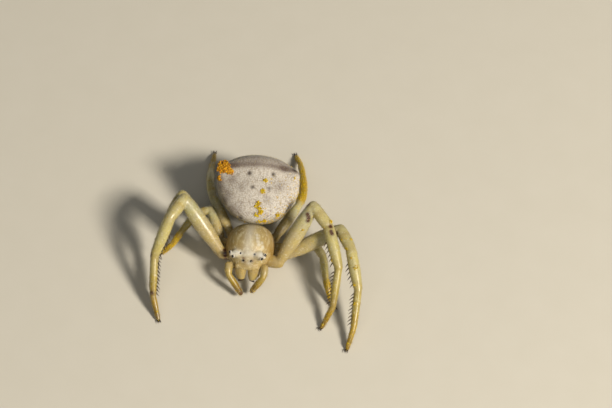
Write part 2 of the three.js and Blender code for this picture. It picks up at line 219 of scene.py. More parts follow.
CARAPACE = {
    "segments": (96, 64),
    "front": CARAPACE_FRONT,
    "rear": CARAPACE_REAR,
    "width": through(1.45, 1.58, 1.55, 1.6, 1.9),
    "middle": through(CARAPACE_MARGIN, CARAPACE_MARGIN),
    "rise": through(1.55, 1.6, 1.5, 1.4, 1.3),
    "hang": through(0.4, 0.4),
    "keel": 0,
}
STERNUM = {
    "segments": (48, 32),
    "front": -1.2,
    "rear": 1.35,
    "width": through(0.95, 1.15, 1.1, 0.95, 0.8),
    "middle": through(1.35, 1.35),
    "rise": through(0.4, 0.4),
    "hang": through(0.62, 0.62),
    "keel": 0,
}
ABDOMEN = {
    "segments": (256, 180),
    "front": ABDOMEN_FRONT,
    "rear": ABDOMEN_REAR,
    "width": through(2.6, 2.4, 2.57, 2.43, 2.0),
    "middle": through(2.95, 3.1, 3.25, 3.35, 2.65),
    "rise": through(0.9, 0.95, 1.05, 1.42, 1.3),
    "hang": through(1.3, 2.2, 2.75, 2.75, 2.0),
    "keel": 0.3,
}


def vertices_of(mesh):
    return np.array([v.co for v in mesh.vertices], float).reshape(-1, 3)


def swollen(form):
    """A body along Y from a sphere, each ring with its width, middle height, rise and hang. Its
    parts are put in order of place, because a new sphere's own order isn't the same each time."""
    around, along = form["segments"]
    bm = bmesh.new()
    bmesh.ops.create_uvsphere(bm, u_segments=around, v_segments=along, radius=1)
    bmesh.ops.rotate(bm, verts=bm.verts, matrix=Matrix.Rotation(math.pi / 2, 3, "X"))
    for vert in bm.verts:
        t = (1 + vert.co.y) / 2
        up = vert.co.z
        height = form["rise"](t) if up > 0 else form["hang"](t)
        narrowing = 1 if up > 0 else 1 - form["keel"] * up * up
        x = vert.co.x * form["width"](t) * narrowing
        y = form["front"] + (form["rear"] - form["front"]) * t
        vert.co = (x, y, form["middle"](t) + up * height)
    bm.verts.sort(key=lambda vert: vert.co.dot(ORDER_WAY))
    bm.verts.index_update()
    count = len(bm.verts)

    def rank(face):
        first, second, third = sorted(vert.index for vert in face.verts)[:3]
        return (first * count + second) * count + third

    bm.faces.sort(key=rank)
    return bm


def turned(outline, start, end, steps):
    """A body turned on the line from start towards end; outline holds radius and height."""
    bm = bmesh.new()
    line = [bm.verts.new((radius, 0, height)) for radius, height in outline]
    edges = [bm.edges.new(pair) for pair in zip(line, line[1:])]
    bmesh.ops.spin(
        bm, geom=line + edges, cent=(0, 0, 0), axis=(0, 0, 1), dvec=(0, 0, 0),
        angle=math.tau, steps=steps, use_merge=True,
    )
    bmesh.ops.remove_doubles(bm, verts=bm.verts, dist=1e-5)
    bmesh.ops.recalc_face_normals(bm, faces=bm.faces)
    turn = Vector((0, 0, 1)).rotation_difference(end - start).to_matrix().to_4x4()
    bmesh.ops.transform(bm, matrix=Matrix.Translation(start) @ turn, verts=bm.verts)
    return bm


def limb(start, end, radii):
    """A limb segment with round ends and a slight neck at each of them."""
    length = (end - start).length
    radius = through(*radii)

    def thickness(t):
        from_end = min(t, 1 - t) * length
        return float(radius(t)) * (1 - NECK_DEPTH * math.exp(-((from_end / NECK_LENGTH) ** 2)))

    angles = [i / LIMB_CAP_RINGS * math.pi / 2 for i in range(LIMB_CAP_RINGS)]
    outline = [(thickness(0) * math.sin(a), -thickness(0) * math.cos(a)) for a in angles]
    for i in range(LIMB_STATIONS + 1):
        outline.append((thickness(i / LIMB_STATIONS), length * i / LIMB_STATIONS))
    for a in reversed(angles):
        outline.append((thickness(1) * math.sin(a), length + thickness(1) * math.cos(a)))
    return turned(outline, start, end, LIMB_SIDES)


def joined(parts):
    """One mesh of several modelled parts, which are used up."""
    whole = bmesh.new()
    scratch = bpy.data.meshes.new("scratch")
    for part in parts:
        part.to_mesh(scratch)
        whole.from_mesh(scratch)
        part.free()
    bpy.data.meshes.remove(scratch)
    return whole


def fused(parts, grid, passes):
    """One closed skin over several closed parts, smoothed so that none of their seams shows."""
    whole = joined(parts)
    mesh = bpy.data.meshes.new("skin")
    whole.to_mesh(mesh)
    whole.free()
    carrier = bpy.data.objects.new("skin", mesh)
    bpy.context.scene.collection.objects.link(carrier)
    remesh = carrier.modifiers.new("Remesh", "REMESH")
    remesh.mode = "VOXEL"
    remesh.voxel_size = grid
    bpy.context.view_layer.update()
    shown = carrier.evaluated_get(bpy.context.evaluated_depsgraph_get())
    skin = bmesh.new()
    skin.from_mesh(shown.to_mesh())
    bpy.data.objects.remove(carrier)
    bpy.data.meshes.remove(mesh)
    for _ in range(passes):
        bmesh.ops.smooth_vert(
            skin, verts=skin.verts, factor=0.5, use_axis_x=True, use_axis_y=True, use_axis_z=True
        )
    return mesh_of(skin)


def mesh_of(bm):
    mesh = bpy.data.meshes.new("piece")
    bm.to_mesh(mesh)
    bm.free()
    return mesh


def moved(mesh, points):
    """The mesh with its vertices at new points."""
    mesh.vertices.foreach_set("co", np.asarray(points, np.float32).ravel())
    mesh.update()
    return mesh


def bell(values, centre, spread):
    """1 at the centre, falling off smoothly over the spread."""
    return np.exp(-(((values - centre) / spread) ** 2))


def rising(values, start, length):
    """0 up to the start, and 1 from a length beyond it on."""
    return np.clip((values - start) / length, 0, 1)


def near(points, centre, spread):
    """1 at a point, falling off smoothly over the spread."""
    return bell(np.linalg.norm(points - np.array(centre, float), axis=1), 0, spread)


def paint(mesh, name, values):
    """A number at each vertex that a material reads."""
    attribute = mesh.attributes.new(name, "FLOAT", "POINT")
    attribute.data.foreach_set("value", np.asarray(values, np.float32))


def finish_piece(mesh, name, finish, nodes=()):
    """Brings a mesh to its place in the model in metres, and gives it its finish and its body."""
    points = vertices_of(mesh)
    points[:, 2] = np.maximum(points[:, 2], FLOOR_CLEARANCE)
    moved(mesh, points)
    mesh.transform(Matrix.Scale(MILLIMETRE, 4) @ Matrix.Translation(CARAPACE_PLACE))
    mesh.shade_smooth()
    mesh.name = name
    mesh.materials.clear()
    mesh.materials.append(finish)
    piece = bpy.data.objects.new(name, mesh)
    bpy.context.scene.collection.objects.link(piece)
    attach(piece, "root")
    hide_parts(*nodes)
    return piece


# Bristles, grains and other things in numbers

BRISTLE_TAPER = 0.7


def bristle(radius, sides, rings, bend):
    """A tapered bristle one unit long on its root at 0, bent towards +X at its tip."""
    outline = [(0, 0)]
    outline += [(radius * (1 - i / rings) ** BRISTLE_TAPER, i / rings) for i in range(rings)]
    outline += [(0, 1)]
    bm = turned(outline, Vector((0, 0, 0)), Vector((0, 0, 1)), sides)
    for vert in bm.verts:
        vert.co.x += bend * vert.co.z ** 2
    return mesh_of(bm)


def grain():
    """A grain of pollen, one unit in radius."""
    bm = bmesh.new()
    bmesh.ops.create_icosphere(bm, subdivisions=1, radius=1)
    return mesh_of(bm)


FINE_HAIR = bristle(0.05, 3, 2, 0.25)
SPINE = bristle(0.12, 6, 4, 0.12)
CLAW = bristle(0.16, 8, 6, 0.5)
GRAIN = grain()

# Coats of fine bristles: how deep their roots stand in the skin, how far they lean and how unlike
# they stand, and how wide each bristle's patch is on the coat's own map
ROOT_DEPTH = 0.01
BRISTLE_LENGTH = (0.1, 0.2)
BRISTLE_LEAN = 0.8
BRISTLE_TANGLE = 0.12
BAKE_PATCH = 0.003


def unit(vectors):
    return vectors / np.linalg.norm(vectors, axis=-1, keepdims=True)


def copies(template, roots, ways, lies, lengths, widths=None, unwrap=None):
    """One mesh of many copies of a template: each stands on its root, points its way and bends
    towards its lie. unwrap gives each root's place on the coat's own map."""
    shape = vertices_of(template)
    faces = [tuple(face.vertices) for face in template.polygons]
    widths = lengths if widths is None else widths
    z = unit(ways)
    x = unit(lies - np.sum(lies * z, axis=1, keepdims=True) * z)
    y = np.cross(z, x)
    points = (
        roots[:, None, :]
        + x[:, None, :] * (shape[None, :, 0, None] * widths[:, None, None])
        + y[:, None, :] * (shape[None, :, 1, None] * widths[:, None, None])
        + z[:, None, :] * (shape[None, :, 2, None] * lengths[:, None, None])
    )
    every = [tuple(i + copy * len(shape) for i in face) for copy in range(len(roots)) for face in faces]
    mesh = bpy.data.meshes.new("copies")
    mesh.from_pydata(points.reshape(-1, 3), [], every)
    if unwrap is not None:
        corner = np.empty(len(mesh.loops), int)
        mesh.loops.foreach_get("vertex_index", corner)
        local = 0.5 + shape[:, :2] / (2 * np.abs(shape[:, :2]).max())
        patch = unwrap[corner // len(shape)] + BAKE_PATCH * local[corner % len(shape)]
        mesh.uv_layers.new(name="OFBake").data.foreach_set("uv", patch.astype(np.float32).ravel())
    return mesh


def scattered(mesh, number, weight=None):
    """Random points on a mesh and its normals there, more of them where weight is greater."""
    centres = np.array([face.center for face in mesh.polygons], float)
    normals = np.array([face.normal for face in mesh.polygons], float)
    chance = np.array([face.area for face in mesh.polygons], float)
    if weight is not None:
        chance = chance * weight(centres)
    picked = draw.choice(len(centres), number, replace=False, p=chance / chance.sum())
    return centres[picked], normals[picked]


def tangle(number, spread):
    """Small random vectors that keep bristles from standing alike."""
    return draw.normal(0, spread, (number, 3))


def lay_bristles(name, roots, normals, ways, lies, lengths, unwrap, stoutness=1):
    """A coat of fine bristles that stand a little way into the skin."""
    roots = roots - normals * ROOT_DEPTH
    coat = copies(FINE_HAIR, roots, ways, lies, lengths, lengths * stoutness, unwrap)
    finish_piece(coat, name, STRAW)


def lay_grains(name, finish, slot, roots, ways, sizes):
    """Grains of pollen, each turned its own way."""
    grains = copies(GRAIN, roots, ways, ways[:, [1, 2, 0]], sizes)
    finish_piece(grains, name, finish)



# Camera, which also tells where on a skin something is seen

CAMERA_BACK = Vector((
    math.sin(CAMERA_AZIMUTH) * math.cos(CAMERA_ELEVATION),
    -math.cos(CAMERA_AZIMUTH) * math.cos(CAMERA_ELEVATION),
    math.sin(CAMERA_ELEVATION),
))
CAMERA_RIGHT = Vector((math.cos(CAMERA_AZIMUTH), math.sin(CAMERA_AZIMUTH), 0))
CAMERA_UP = CAMERA_BACK.cross(CAMERA_RIGHT)
CAMERA_AIM = CAMERA_RIGHT * AIM_RIGHT + CAMERA_UP * AIM_UP


def make_camera():
    data = bpy.data.cameras.new("camera")
    data.sensor_width = SENSOR_WIDTH
    data.lens = CAMERA_DISTANCE * SENSOR_WIDTH * PIXELS_PER_MM / IMAGE_WIDTH
    data.clip_start = CAMERA_CLIP_START
    camera = bpy.data.objects.new("camera", data)
    place = (CAMERA_AIM + CARAPACE_PLACE + CAMERA_BACK * CAMERA_DISTANCE) * MILLIMETRE
    turn = Matrix((CAMERA_RIGHT, CAMERA_UP, CAMERA_BACK)).transposed()
    camera.matrix_world = Matrix.Translation(place) @ turn.to_4x4()
    bpy.context.scene.collection.objects.link(camera)
    bpy.context.scene.camera = camera


def seen_at(skin, x, y):
    """The point of a skin, and its normal, that the camera sees at a place in its picture."""
    across = (x - IMAGE_WIDTH / 2) / PIXELS_PER_MM
    above = (IMAGE_HEIGHT / 2 - y) / PIXELS_PER_MM
    eye = CAMERA_AIM + CAMERA_BACK * CAMERA_DISTANCE
    target = CAMERA_AIM + CAMERA_RIGHT * across + CAMERA_UP * above
    point, normal, _, _ = skin.ray_cast(eye, (target - eye).normalized())
    return point, normal


def tree_of(mesh):
    return BVHTree.FromPolygons(
        [v.co for v in mesh.vertices], [tuple(face.vertices) for face in mesh.polygons]
    )


def marked(points, seen, places):
    """How strongly each point is marked by spots at places in the camera's picture."""
    marks = np.zeros(len(points))
    for x, y, spread, strength in places:
        point, _ = seen_at(seen, x, y)
        if point is not None:
            marks = np.maximum(marks, strength * near(points, point, spread))
    return marks

# Materials

def linear(colour):
    """A hex sRGB colour as a linear one with full alpha."""
    channels = [int(colour[i:i + 2], 16) / 255 for i in (1, 3, 5)]
    return [c / 12.92 if c <= 0.04045 else ((c + 0.055) / 1.055) ** 2.4 for c in channels] + [1]


def add(tree, kind, inputs=(), stops=(), **settings):
    """A node with its settings; an input takes a value, a hex colour or another node's output."""
    node = tree.nodes.new(kind)
    for key, value in settings.items():
        setattr(node, key, value)
    for i, (place, colour) in enumerate(stops):
        stop = node.color_ramp.elements[i] if i < 2 else node.color_ramp.elements.new(place)
        stop.position = place
        stop.color = linear(colour)
    for key, value in dict(inputs).items():
        if isinstance(value, bpy.types.NodeSocket):
            tree.links.new(value, node.inputs[key])
        else:
            node.inputs[key].default_value = linear(value) if isinstance(value, str) else value
    return node


def new_material(name, **sockets):
    """A node material and its tree, with what is the same all over on its shader's sockets."""
    material = bpy.data.materials.new(name)
    material.use_nodes = True
    shader = material.node_tree.nodes["Principled BSDF"]
    for key, value in sockets.items():
        shader.inputs[key.replace("_", " ").title().replace("Ior", "IOR")].default_value = value
    return material, material.node_tree


def finished(material, colour, relief=None, depth=0):
    """The material with its colour, and with fine relief of a depth in millimetres."""
    tree = material.node_tree
    shader = tree.nodes["Principled BSDF"]
    tree.links.new(colour, shader.inputs["Base Color"])
    if relief is not None:
        inputs = {"Height": relief, "Distance": depth * MILLIMETRE, "Strength": 1}
        bump = add(tree, "ShaderNodeBump", inputs)
        tree.links.new(bump.outputs["Normal"], shader.inputs["Normal"])
    return material


def grainy(tree, size, detail=3, stretch=(1, 1, 1), kind="ShaderNodeTexNoise"):
    """A pattern on the piece's own place with spots about size millimetres across."""
    place = add(tree, "ShaderNodeTexCoord").outputs["Object"]
    place = add(tree, "ShaderNodeMapping", {"Vector": place, "Scale": stretch}).outputs["Vector"]
    inputs = {"Vector": place, "Scale": 1 / (size * MILLIMETRE)}
    if kind == "ShaderNodeTexNoise":
        inputs["Detail"] = detail
    return add(tree, kind, inputs).outputs[0]


def flecks(tree, size, start, end, strength=1, **pattern):
    """Spots of a pattern: nothing where it is below start, and full strength where above end."""
    inputs = {
        "Value": grainy(tree, size, **pattern), "From Min": start, "From Max": end, "To Max": strength,
    }
    return add(tree, "ShaderNodeMapRange", inputs, interpolation_type="SMOOTHSTEP").outputs[0]


# Sockets of the node that mixes two colours
FACTOR, FIRST, SECOND, RESULT = 0, 6, 7, 2


def layered(tree, base, *layers):
    """A base colour with others laid over it in turn, each as strongly as its pattern says, or the
    number that is painted at the vertices under its name."""
    colour = base
    for strength, laid, *blend in layers:
        if isinstance(strength, str):
            strength = add(tree, "ShaderNodeAttribute", attribute_name=strength).outputs["Fac"]
        mix = add(
            tree, "ShaderNodeMix", {FACTOR: strength, FIRST: colour, SECOND: laid},
            data_type="RGBA", blend_type=blend[0] if blend else "MIX",
        )
        colour = mix.outputs[RESULT]
    return colour


def leg_cuticle():
    # Thin cuticle over pale flesh: milky and glossy, light passes into it, and it turns amber
    # where it is thick, at the joints and towards the tip
    material, tree = new_material(
        "milky cuticle", roughness=0.38, ior=1.5, subsurface_weight=0.4,
        subsurface_scale=0.2 * MILLIMETRE, subsurface_radius=(1, 0.9, 0.6),
        coat_weight=0.2, coat_roughness=0.2,
    )
    along = add(tree, "ShaderNodeAttribute", attribute_name="along").outputs["Fac"]
    inputs = {"Value": along, "From Min": COXA, "From Max": TIP}
    place = add(tree, "ShaderNodeMapRange", inputs, interpolation_type="SMOOTHSTEP").outputs[0]
    segments = add(tree, "ShaderNodeValToRGB", {"Fac": place}, stops=(
        (0, "#a48a58"), (1, "#4a300c"), (0.16, "#ada078"), (0.22, "#a8a584"), (0.31, "#b6b18f"),
        (0.345, "#a89a6a"), (0.42, "#b4ab80"), (0.5, "#b3ab7d"), (0.66, "#b1a874"), (0.8, "#aa9c5e"),
        (0.88, "#9a8738"), (0.965, "#8a6f1e"),
    ))
    dust = add(tree, "ShaderNodeAttribute", attribute_name="dust").outputs["Fac"]
    colour = layered(
        tree, segments.outputs["Color"],
        (flecks(tree, 0.45, 0.35, 0.65), "#c4bf9f", "SOFT_LIGHT"),
        (flecks(tree, 0.1, 0.5, 0.72, strength=0.5, detail=2), "#8f8350"),
        (flecks(tree, 0.14, 0.55, 0.7, strength=0.5, detail=2), "#cfcaae"),
        ("joint", "#96803f"),
        # red-brown joint marks, and painted shade in the crease of a coxa
        ("marks_and_crease_shade", "#472203"),
        (dust, "#a2850c"),
        (flecks(tree, 0.09, 0.55, 0.66, strength=dust), "#c9a008"),
    )
    return finished(material, colour, grainy(tree, 0.07, 2), 0.005)


def carapace_cuticle():
    # The same cuticle, thicker: waxy tan with amber flanks and chalk white about the eyes
    material, tree = new_material(
        "waxy cuticle", roughness=0.5, ior=1.5, subsurface_weight=0.3,
        subsurface_scale=0.15 * MILLIMETRE, subsurface_radius=(1, 0.85, 0.55),
        coat_weight=0.08, coat_roughness=0.35,
    )
    colour = layered(
        tree, "#9a8450",
        (flecks(tree, 0.5, 0.3, 0.7), "#b09c68"),
        (flecks(tree, 0.14, 0.48, 0.66, strength=0.75, detail=2, stretch=(1, 0.25, 1)), "#cbc19c"),
        (flecks(tree, 0.1, 0.56, 0.72, strength=0.5, detail=2), "#8b7038"),
        ("flank", "#8d6c28"),
        ("streak", "#c8c4b6"),
        ("chalk", "#c4c3bb"),
        ("mark", "#5d3a1c"),
    )
    return finished(material, colour, grainy(tree, 0.06, 2), 0.006)


def abdomen_cuticle():
    # Soft thin skin over white granules that show through it as a fine chalky grain
    material, tree = new_material(
        "granular skin", roughness=0.6, ior=1.42, subsurface_weight=0.3,
        subsurface_scale=0.2 * MILLIMETRE, subsurface_radius=(1, 0.85, 0.7), sheen_weight=0.1,
    )
    clouded = layered(tree, "#9a9082", (flecks(tree, 0.8, 0.35, 0.68), "#ada496"))
    granules = flecks(tree, 0.09, 0.2, 0.9, kind="ShaderNodeTexVoronoi")
    colour = layered(
        tree, "#c6c1b8",
        (granules, clouded),
        (flecks(tree, 0.2, 0.55, 0.75, strength=0.4, detail=2, stretch=(1, 0.6, 1)), "#7e7068"),
        # grey-brown band, rear and dashes, with patches and painted shadow on the left flank
        ("shade", "#5f5148"),
        # olive underside, darkened as painted shade
        ("flank", "#6f6235"),
        ("spot", "#2b1c13"),
    )
    return finished(material, colour, granules, 0.006)


def mouth_cuticle():
    # Cuticle of the jaws and palps, glossier and yellower towards the tips
    material, tree = new_material(
        "amber cuticle", roughness=0.4, ior=1.5, subsurface_weight=0.35,
        subsurface_scale=0.15 * MILLIMETRE, subsurface_radius=(1, 0.85, 0.5),
        coat_weight=0.15, coat_roughness=0.25,
    )
    along = add(tree, "ShaderNodeAttribute", attribute_name="along").outputs["Fac"]
    segments = add(tree, "ShaderNodeValToRGB", {"Fac": along}, stops=(
        (0, "#a08a58"), (1, "#4c2c0a"), (0.45, "#a59568"), (0.66, "#a3904e"), (0.8, "#937a18"),
    ))
    colour = layered(
        tree, segments.outputs["Color"],
        (flecks(tree, 0.25, 0.35, 0.7), "#c8bf97", "SOFT_LIGHT"),
        (flecks(tree, 0.1, 0.54, 0.7, strength=0.5, detail=2), "#80682c"),
    )
    return finished(material, colour, grainy(tree, 0.06, 2), 0.005)


def dark_horn():
    # Hard tanned cuticle of claws, fangs and spines: dark brown, smooth, a little clear at its edges
    material, tree = new_material(
        "tanned horn", roughness=0.5, ior=1.5, coat_weight=0.1, coat_roughness=0.3,
    )
    return finished(material, layered(tree, "#1c0f05", (grainy(tree, 0.12, 1), "#3a220c")))


def pale_bristle():
    # Fine bristles: clear horn that looks pale straw
    material, tree = new_material(
        "straw bristle", roughness=0.4, ior=1.5, subsurface_weight=0.3,
        subsurface_scale=0.02 * MILLIMETRE, subsurface_radius=(1, 0.8, 0.5),
    )
    return finished(material, layered(tree, "#a8955f", (grainy(tree, 0.4, 1), "#cfc5a2")))


def eye_lens():
    # A clear cornea over a black pit: black, and as glossy as glass
    material, tree = new_material(
        "black cornea", roughness=0.06, ior=1.5, coat_weight=1.0, coat_roughness=0.03,
    )
    return finished(material, layered(tree, "#080605", (grainy(tree, 0.05, 1), "#1a100a")))


def eye_rim():
    # The chalk white swelling round an eye
    material, tree = new_material(
        "chalky rim", roughness=0.5, ior=1.45, subsurface_weight=0.4,
        subsurface_scale=0.1 * MILLIMETRE, subsurface_radius=(1, 0.9, 0.8),
    )
    return finished(material, layered(tree, "#a9a396", (grainy(tree, 0.06, 2), "#bfb9ac")))


def pollen_dust(name, deep, bright):
    # Matt, oily grains of pollen, each a little darker or brighter than the next
    material, tree = new_material(
        name, roughness=0.6, ior=1.45, subsurface_weight=0.4,
        subsurface_scale=0.05 * MILLIMETRE, subsurface_radius=(1, 0.6, 0.2),
    )
    colour = layered(tree, deep, (flecks(tree, 0.12, 0.35, 0.65, detail=1), bright))
    return finished(material, colour, grainy(tree, 0.02, 2), 0.01)


def floor_paper():
    # Plain matt card, pale and a little warm
    material, tree = new_material("matt card", roughness=0.8, ior=1.45)
    return finished(material, layered(tree, "#c9c5b8", (grainy(tree, 2), "#cdc9bd")))


LEG = leg_cuticle()
SHELL = carapace_cuticle()
BELLY = abdomen_cuticle()
MOUTH = mouth_cuticle()
HORN = dark_horn()
STRAW = pale_bristle()
LENS = eye_lens()
RIM = eye_rim()
ORANGE_POLLEN = pollen_dust("orange pollen", "#a06c04", "#dda20c")
YELLOW_POLLEN = pollen_dust("yellow pollen", "#a88a0a", "#dcba16")


# Legs

SIDES = {"l": 1, "r": -1}
LONG_LEGS = ("l1", "r1", "l2", "r2")

# A coxa's root: shares of its hip's place, and what is added to them
COXA_ROOT_SHARES = (0.42, 0.6, 0.55)
COXA_ROOT_OFFSET = (0, 0, 0.5)
COXA_SWELLING = 0.03

# How strongly the joints are tinted, and how far about them, in radii of the femur's end
JOINT_TINT = 0.55
JOINT_TINT_REACH = 1.15


def mirrored(place, side):
    return Vector((place[0] * side, place[1], place[2]))


def hip_of(leg):
    return mirrored(POSE[leg].get("hip", PAIRS[int(leg[1])]["hip"]), SIDES[leg[0]])


def joints_of(leg):
    """The ends of a leg's segments, from the root of its coxa to the tip of its tarsus."""
    hip = hip_of(leg)
    coxa_root = Vector([
        place * share + offset
        for place, share, offset in zip(hip, COXA_ROOT_SHARES, COXA_ROOT_OFFSET)
    ])
    joints = [coxa_root, hip]
    for i, length in enumerate(PAIRS[int(leg[1])]["lengths"]):
        start = joints[-1]
        lifts = POSE[leg]["lift"]
        up = math.radians(lifts[i]) if i < len(lifts) else math.asin((TOE_HEIGHT - start.z) / length)
        turn = math.radians(POSE[leg]["turn"][i])
        level = math.cos(up)
        way = Vector((SIDES[leg[0]] * math.cos(turn) * level, math.sin(turn) * level, math.sin(up)))
        joints.append(start + way * length)
    return joints


def radii_of(leg):
    """The radii along each segment, from the coxa to the tarsus."""
    radii = PAIRS[int(leg[1])]["radii"]
    coxa = radii[0][0] + COXA_EXTRA
    return ((coxa, coxa + COXA_SWELLING, coxa),) + radii


def chain(joints, radii):
    """Limb segments from joint to joint."""
    return [limb(start, end, along) for start, end, along in zip(joints, joints[1:], radii)]


def measured_along(points, joints, radii):
    """How far along a chain of segments each point lies, counted in segments, and its way there."""
    best = np.full(len(points), np.inf)
    along = np.zeros(len(points))
    around = np.zeros(len(points))
    for i, (start, end) in enumerate(zip(joints, joints[1:])):
        line = np.array(end - start)
        t = np.clip((points - np.array(start)) @ line / (line @ line), 0, 1)
        out = points - np.array(start) - t[:, None] * line
        depth = np.linalg.norm(out, axis=1) - through(*radii[i])(t)
        closer = depth < best
        best[closer] = depth[closer]
        along[closer] = (i + t)[closer]
        level = np.cross(line, (0, 0, 1))
        upright = np.cross(level, line)
        angle = np.arctan2(out @ unit(level), out @ unit(upright))
        around[closer] = angle[closer]
    return along, around


def nearest_joint(points, joints, spread):
    """1 at a joint between two segments, falling off smoothly over the spread."""
    return np.max([near(points, joint, spread) for joint in joints[1:-1]], axis=0)


def make_leg(leg):
    joints = joints_of(leg)
    radii = radii_of(leg)
    skin = fused(chain(joints, radii), *LEG_SKIN)
    points = vertices_of(skin)
    along, _ = measured_along(points, joints, radii)
    reach = JOINT_TINT_REACH * radii[FEMUR][-1]
    seen = tree_of(skin)
    paint(skin, "along", along)
    paint(skin, "joint", JOINT_TINT * nearest_joint(points, joints, reach))
    paint(skin, "dust", dust_on(leg, along))
    # red-brown joint marks, and painted shade in the crease between a coxa and its trochanter
    paint(skin, "marks_and_crease_shade", marks_and_crease_shade_on(leg, points, seen))
    make_leg_bristles(leg, skin, joints, radii)
    make_leg_pollen(leg, skin, joints, radii, seen)
    nodes = [f"leg_{leg}_{part}" for part in ("femur", "tibia", "foot")]
    finish_piece(skin, f"leg_{leg}_skin", LEG, nodes)
    make_claws(leg, joints)
    if leg in LONG_LEGS:
        make_spines(leg, joints, radii)


# How thickly the legs are dusted with pollen, from which place along them, and how far it fades in
DUST = {
    "l1": (0.35, TARSUS), "r1": (0.3, TARSUS), "l2": (0.45, METATARSUS + 0.6), "r2": (0.2, TARSUS),
    "l3": (0.9, METATARSUS), "r3": (0.9, METATARSUS), "l4": (1.0, PATELLA), "r4": (0.4, METATARSUS),
}
DUST_FADE = 0.3


def dust_on(leg, along):
    thickness, start = DUST[leg]
    return thickness * rising(along, start, DUST_FADE)


# Red-brown marks by knees and joints, and painted shade in a coxa's crease, as places in the picture
JOINT_MARKS = {
    "l1": (
        (308.0, 204.5), (307.6, 214.5), (308.4, 216.5), (308.6, 218.5), (308.0, 220.5),
        (330.6, 226.5), (331.2, 231.5), (332.0, 233.5),
    ),
    "l2": ((331.5, 224.0), (332.6, 227.0), (333.4, 230.0), (336.0, 233.0)),
    "r1": ((162.7, 219.5), (150.6, 254.5), (151.6, 293.0)),
}
COXA_CREASE_SHADE = {
    "r1": ((224.8, 250.0), (225.0, 253.0), (225.3, 256.0), (225.6, 259.0), (225.7, 261.0)),
}
JOINT_MARK_RADIUS = 0.13
COXA_CREASE_SHADE_RADIUS = 0.12
MARK_AND_SHADE_STRENGTH = 1.5


def marks_and_crease_shade_on(leg, points, seen):
    places = [(x, y, JOINT_MARK_RADIUS, MARK_AND_SHADE_STRENGTH) for x, y in JOINT_MARKS.get(leg, ())]
    # the crease between coxa and trochanter, darkened as painted shade
    places += [(x, y, COXA_CREASE_SHADE_RADIUS, MARK_AND_SHADE_STRENGTH) for x, y in COXA_CREASE_SHADE.get(leg, ())]
    return np.clip(marked(points, seen, places), 0, 1)


def bristles_along(name, skin, joints, radii, number, rise, weight):
    """Short fine bristles on a chain of segments that lie towards its tip."""
    roots, normals = scattered(skin, number, weight)
    along, around = measured_along(roots, joints, radii)
    lines = unit(np.array([end - start for start, end in zip(joints, joints[1:])]))
    lies = lines[np.minimum(along.astype(int), len(lines) - 1)]
    ways = normals * rise + lies * BRISTLE_LEAN + tangle(number, BRISTLE_TANGLE)
    lengths = draw.uniform(*BRISTLE_LENGTH, number)
    unwrap = np.column_stack((along / len(lines), 0.5 + around / math.tau)) * (1 - BAKE_PATCH)
    lay_bristles(name, roots, normals, ways, lies - normals, lengths, unwrap)


# How many bristles a leg has and how far they rise, how thickly they stand on its coxa, at the root
# of its femur and more of them with each segment, and the height up to which its foot is bare
LONG_LEG_BRISTLES = 900
SHORT_LEG_BRISTLES = 600
LEG_BRISTLE_RISE = 0.75
COXA_BRISTLING = 0.1
FEMUR_BRISTLING = 0.5
MORE_BRISTLING = 0.35
BARE_HEIGHT = 0.05


def make_leg_bristles(leg, skin, joints, radii):
    def weight(centres):
        along, _ = measured_along(centres, joints, radii)
        outer = FEMUR_BRISTLING + MORE_BRISTLING * (along - FEMUR)
        return np.where(along < FEMUR, COXA_BRISTLING, outer) * (centres[:, 2] > BARE_HEIGHT)

    number = LONG_LEG_BRISTLES if leg in LONG_LEGS else SHORT_LEG_BRISTLES
    name = f"leg_{leg}_bristles"
    bristles_along(name, skin, joints, radii, number, LEG_BRISTLE_RISE, weight)


# Rows of stout spines on the inner side of the tibia and metatarsus of the first two pairs: where a
# row starts and ends along its segment and how many spines it has, the downward share of the way
# inwards, and how far the second row stands back
SPINE_ROWS = {TIBIA: (0.35, 0.96, 6), METATARSUS: (0.12, 0.98, 9)}
SPINE_LENGTH = 0.33
SPINE_VARIATION = 0.15
SPINE_DOWNWARDS = 0.5
SPINE_ROW_ANGLE = math.radians(30)
SPINE_ROW_SHIFT = 0.5
SPINE_LEAN = 0.75
SPINE_TANGLE = 0.06
SPINE_ROOT = 0.93


def make_spines(leg, joints, radii):
    roots, ways, lies = [], [], []
    for segment, (first, last, number) in SPINE_ROWS.items():
        start, end = joints[segment], joints[segment + 1]
        way = (end - start).normalized()
        inwards = Vector((-SIDES[leg[0]], 0, -SPINE_DOWNWARDS))
        inwards = (inwards - way * inwards.dot(way)).normalized()
        for row, shift in ((-1, 0), (1, SPINE_ROW_SHIFT)):
            out = Matrix.Rotation(row * SPINE_ROW_ANGLE, 3, way) @ inwards
            for i in range(number):
                t = first + (last - first) * (i + shift) / number
                radius = float(through(*radii[segment])(t))
                roots.append(start + (end - start) * t + out * radius * SPINE_ROOT)
                ways.append(out + way * SPINE_LEAN)
                lies.append(way)
    lengths = SPINE_LENGTH * draw.uniform(1 - SPINE_VARIATION, 1 + SPINE_VARIATION, len(roots))
    ways = np.array(ways) + tangle(len(roots), SPINE_TANGLE)
    spines = copies(SPINE, np.array(roots), ways, np.array(lies), lengths)
    finish_piece(spines, f"leg_{leg}_spines", HORN)


# Two claws at the tip of a tarsus: how far to the side, forwards and up their roots lie from the
# tip, and how far they lean from the foot's own way
CLAW_ROOT = (0.05, 0.08, 0.03)
CLAW_LEAN = (0.3, 0, 0.45)
CLAW_LENGTH = 0.24
CLAW_THICKNESS = 0.26

# The tuft of stiff hairs about them: how far ahead of the tip it stands and how wide, its least
# height, how far its hairs splay and how far they may hang
TUFT_HAIRS = 24
TUFT_AHEAD = 0.07
TUFT_RADIUS = 0.09
TUFT_HEIGHT = 0.03
TUFT_FILLING = (0.2, 1)
TUFT_SPLAY = 0.5
TUFT_DROOP = 0.1
TUFT_HAIR_LENGTH = (0.1, 0.17)
TUFT_HAIR_STOUTNESS = 1.5
TUFT_MAP_SCALE = 0.4


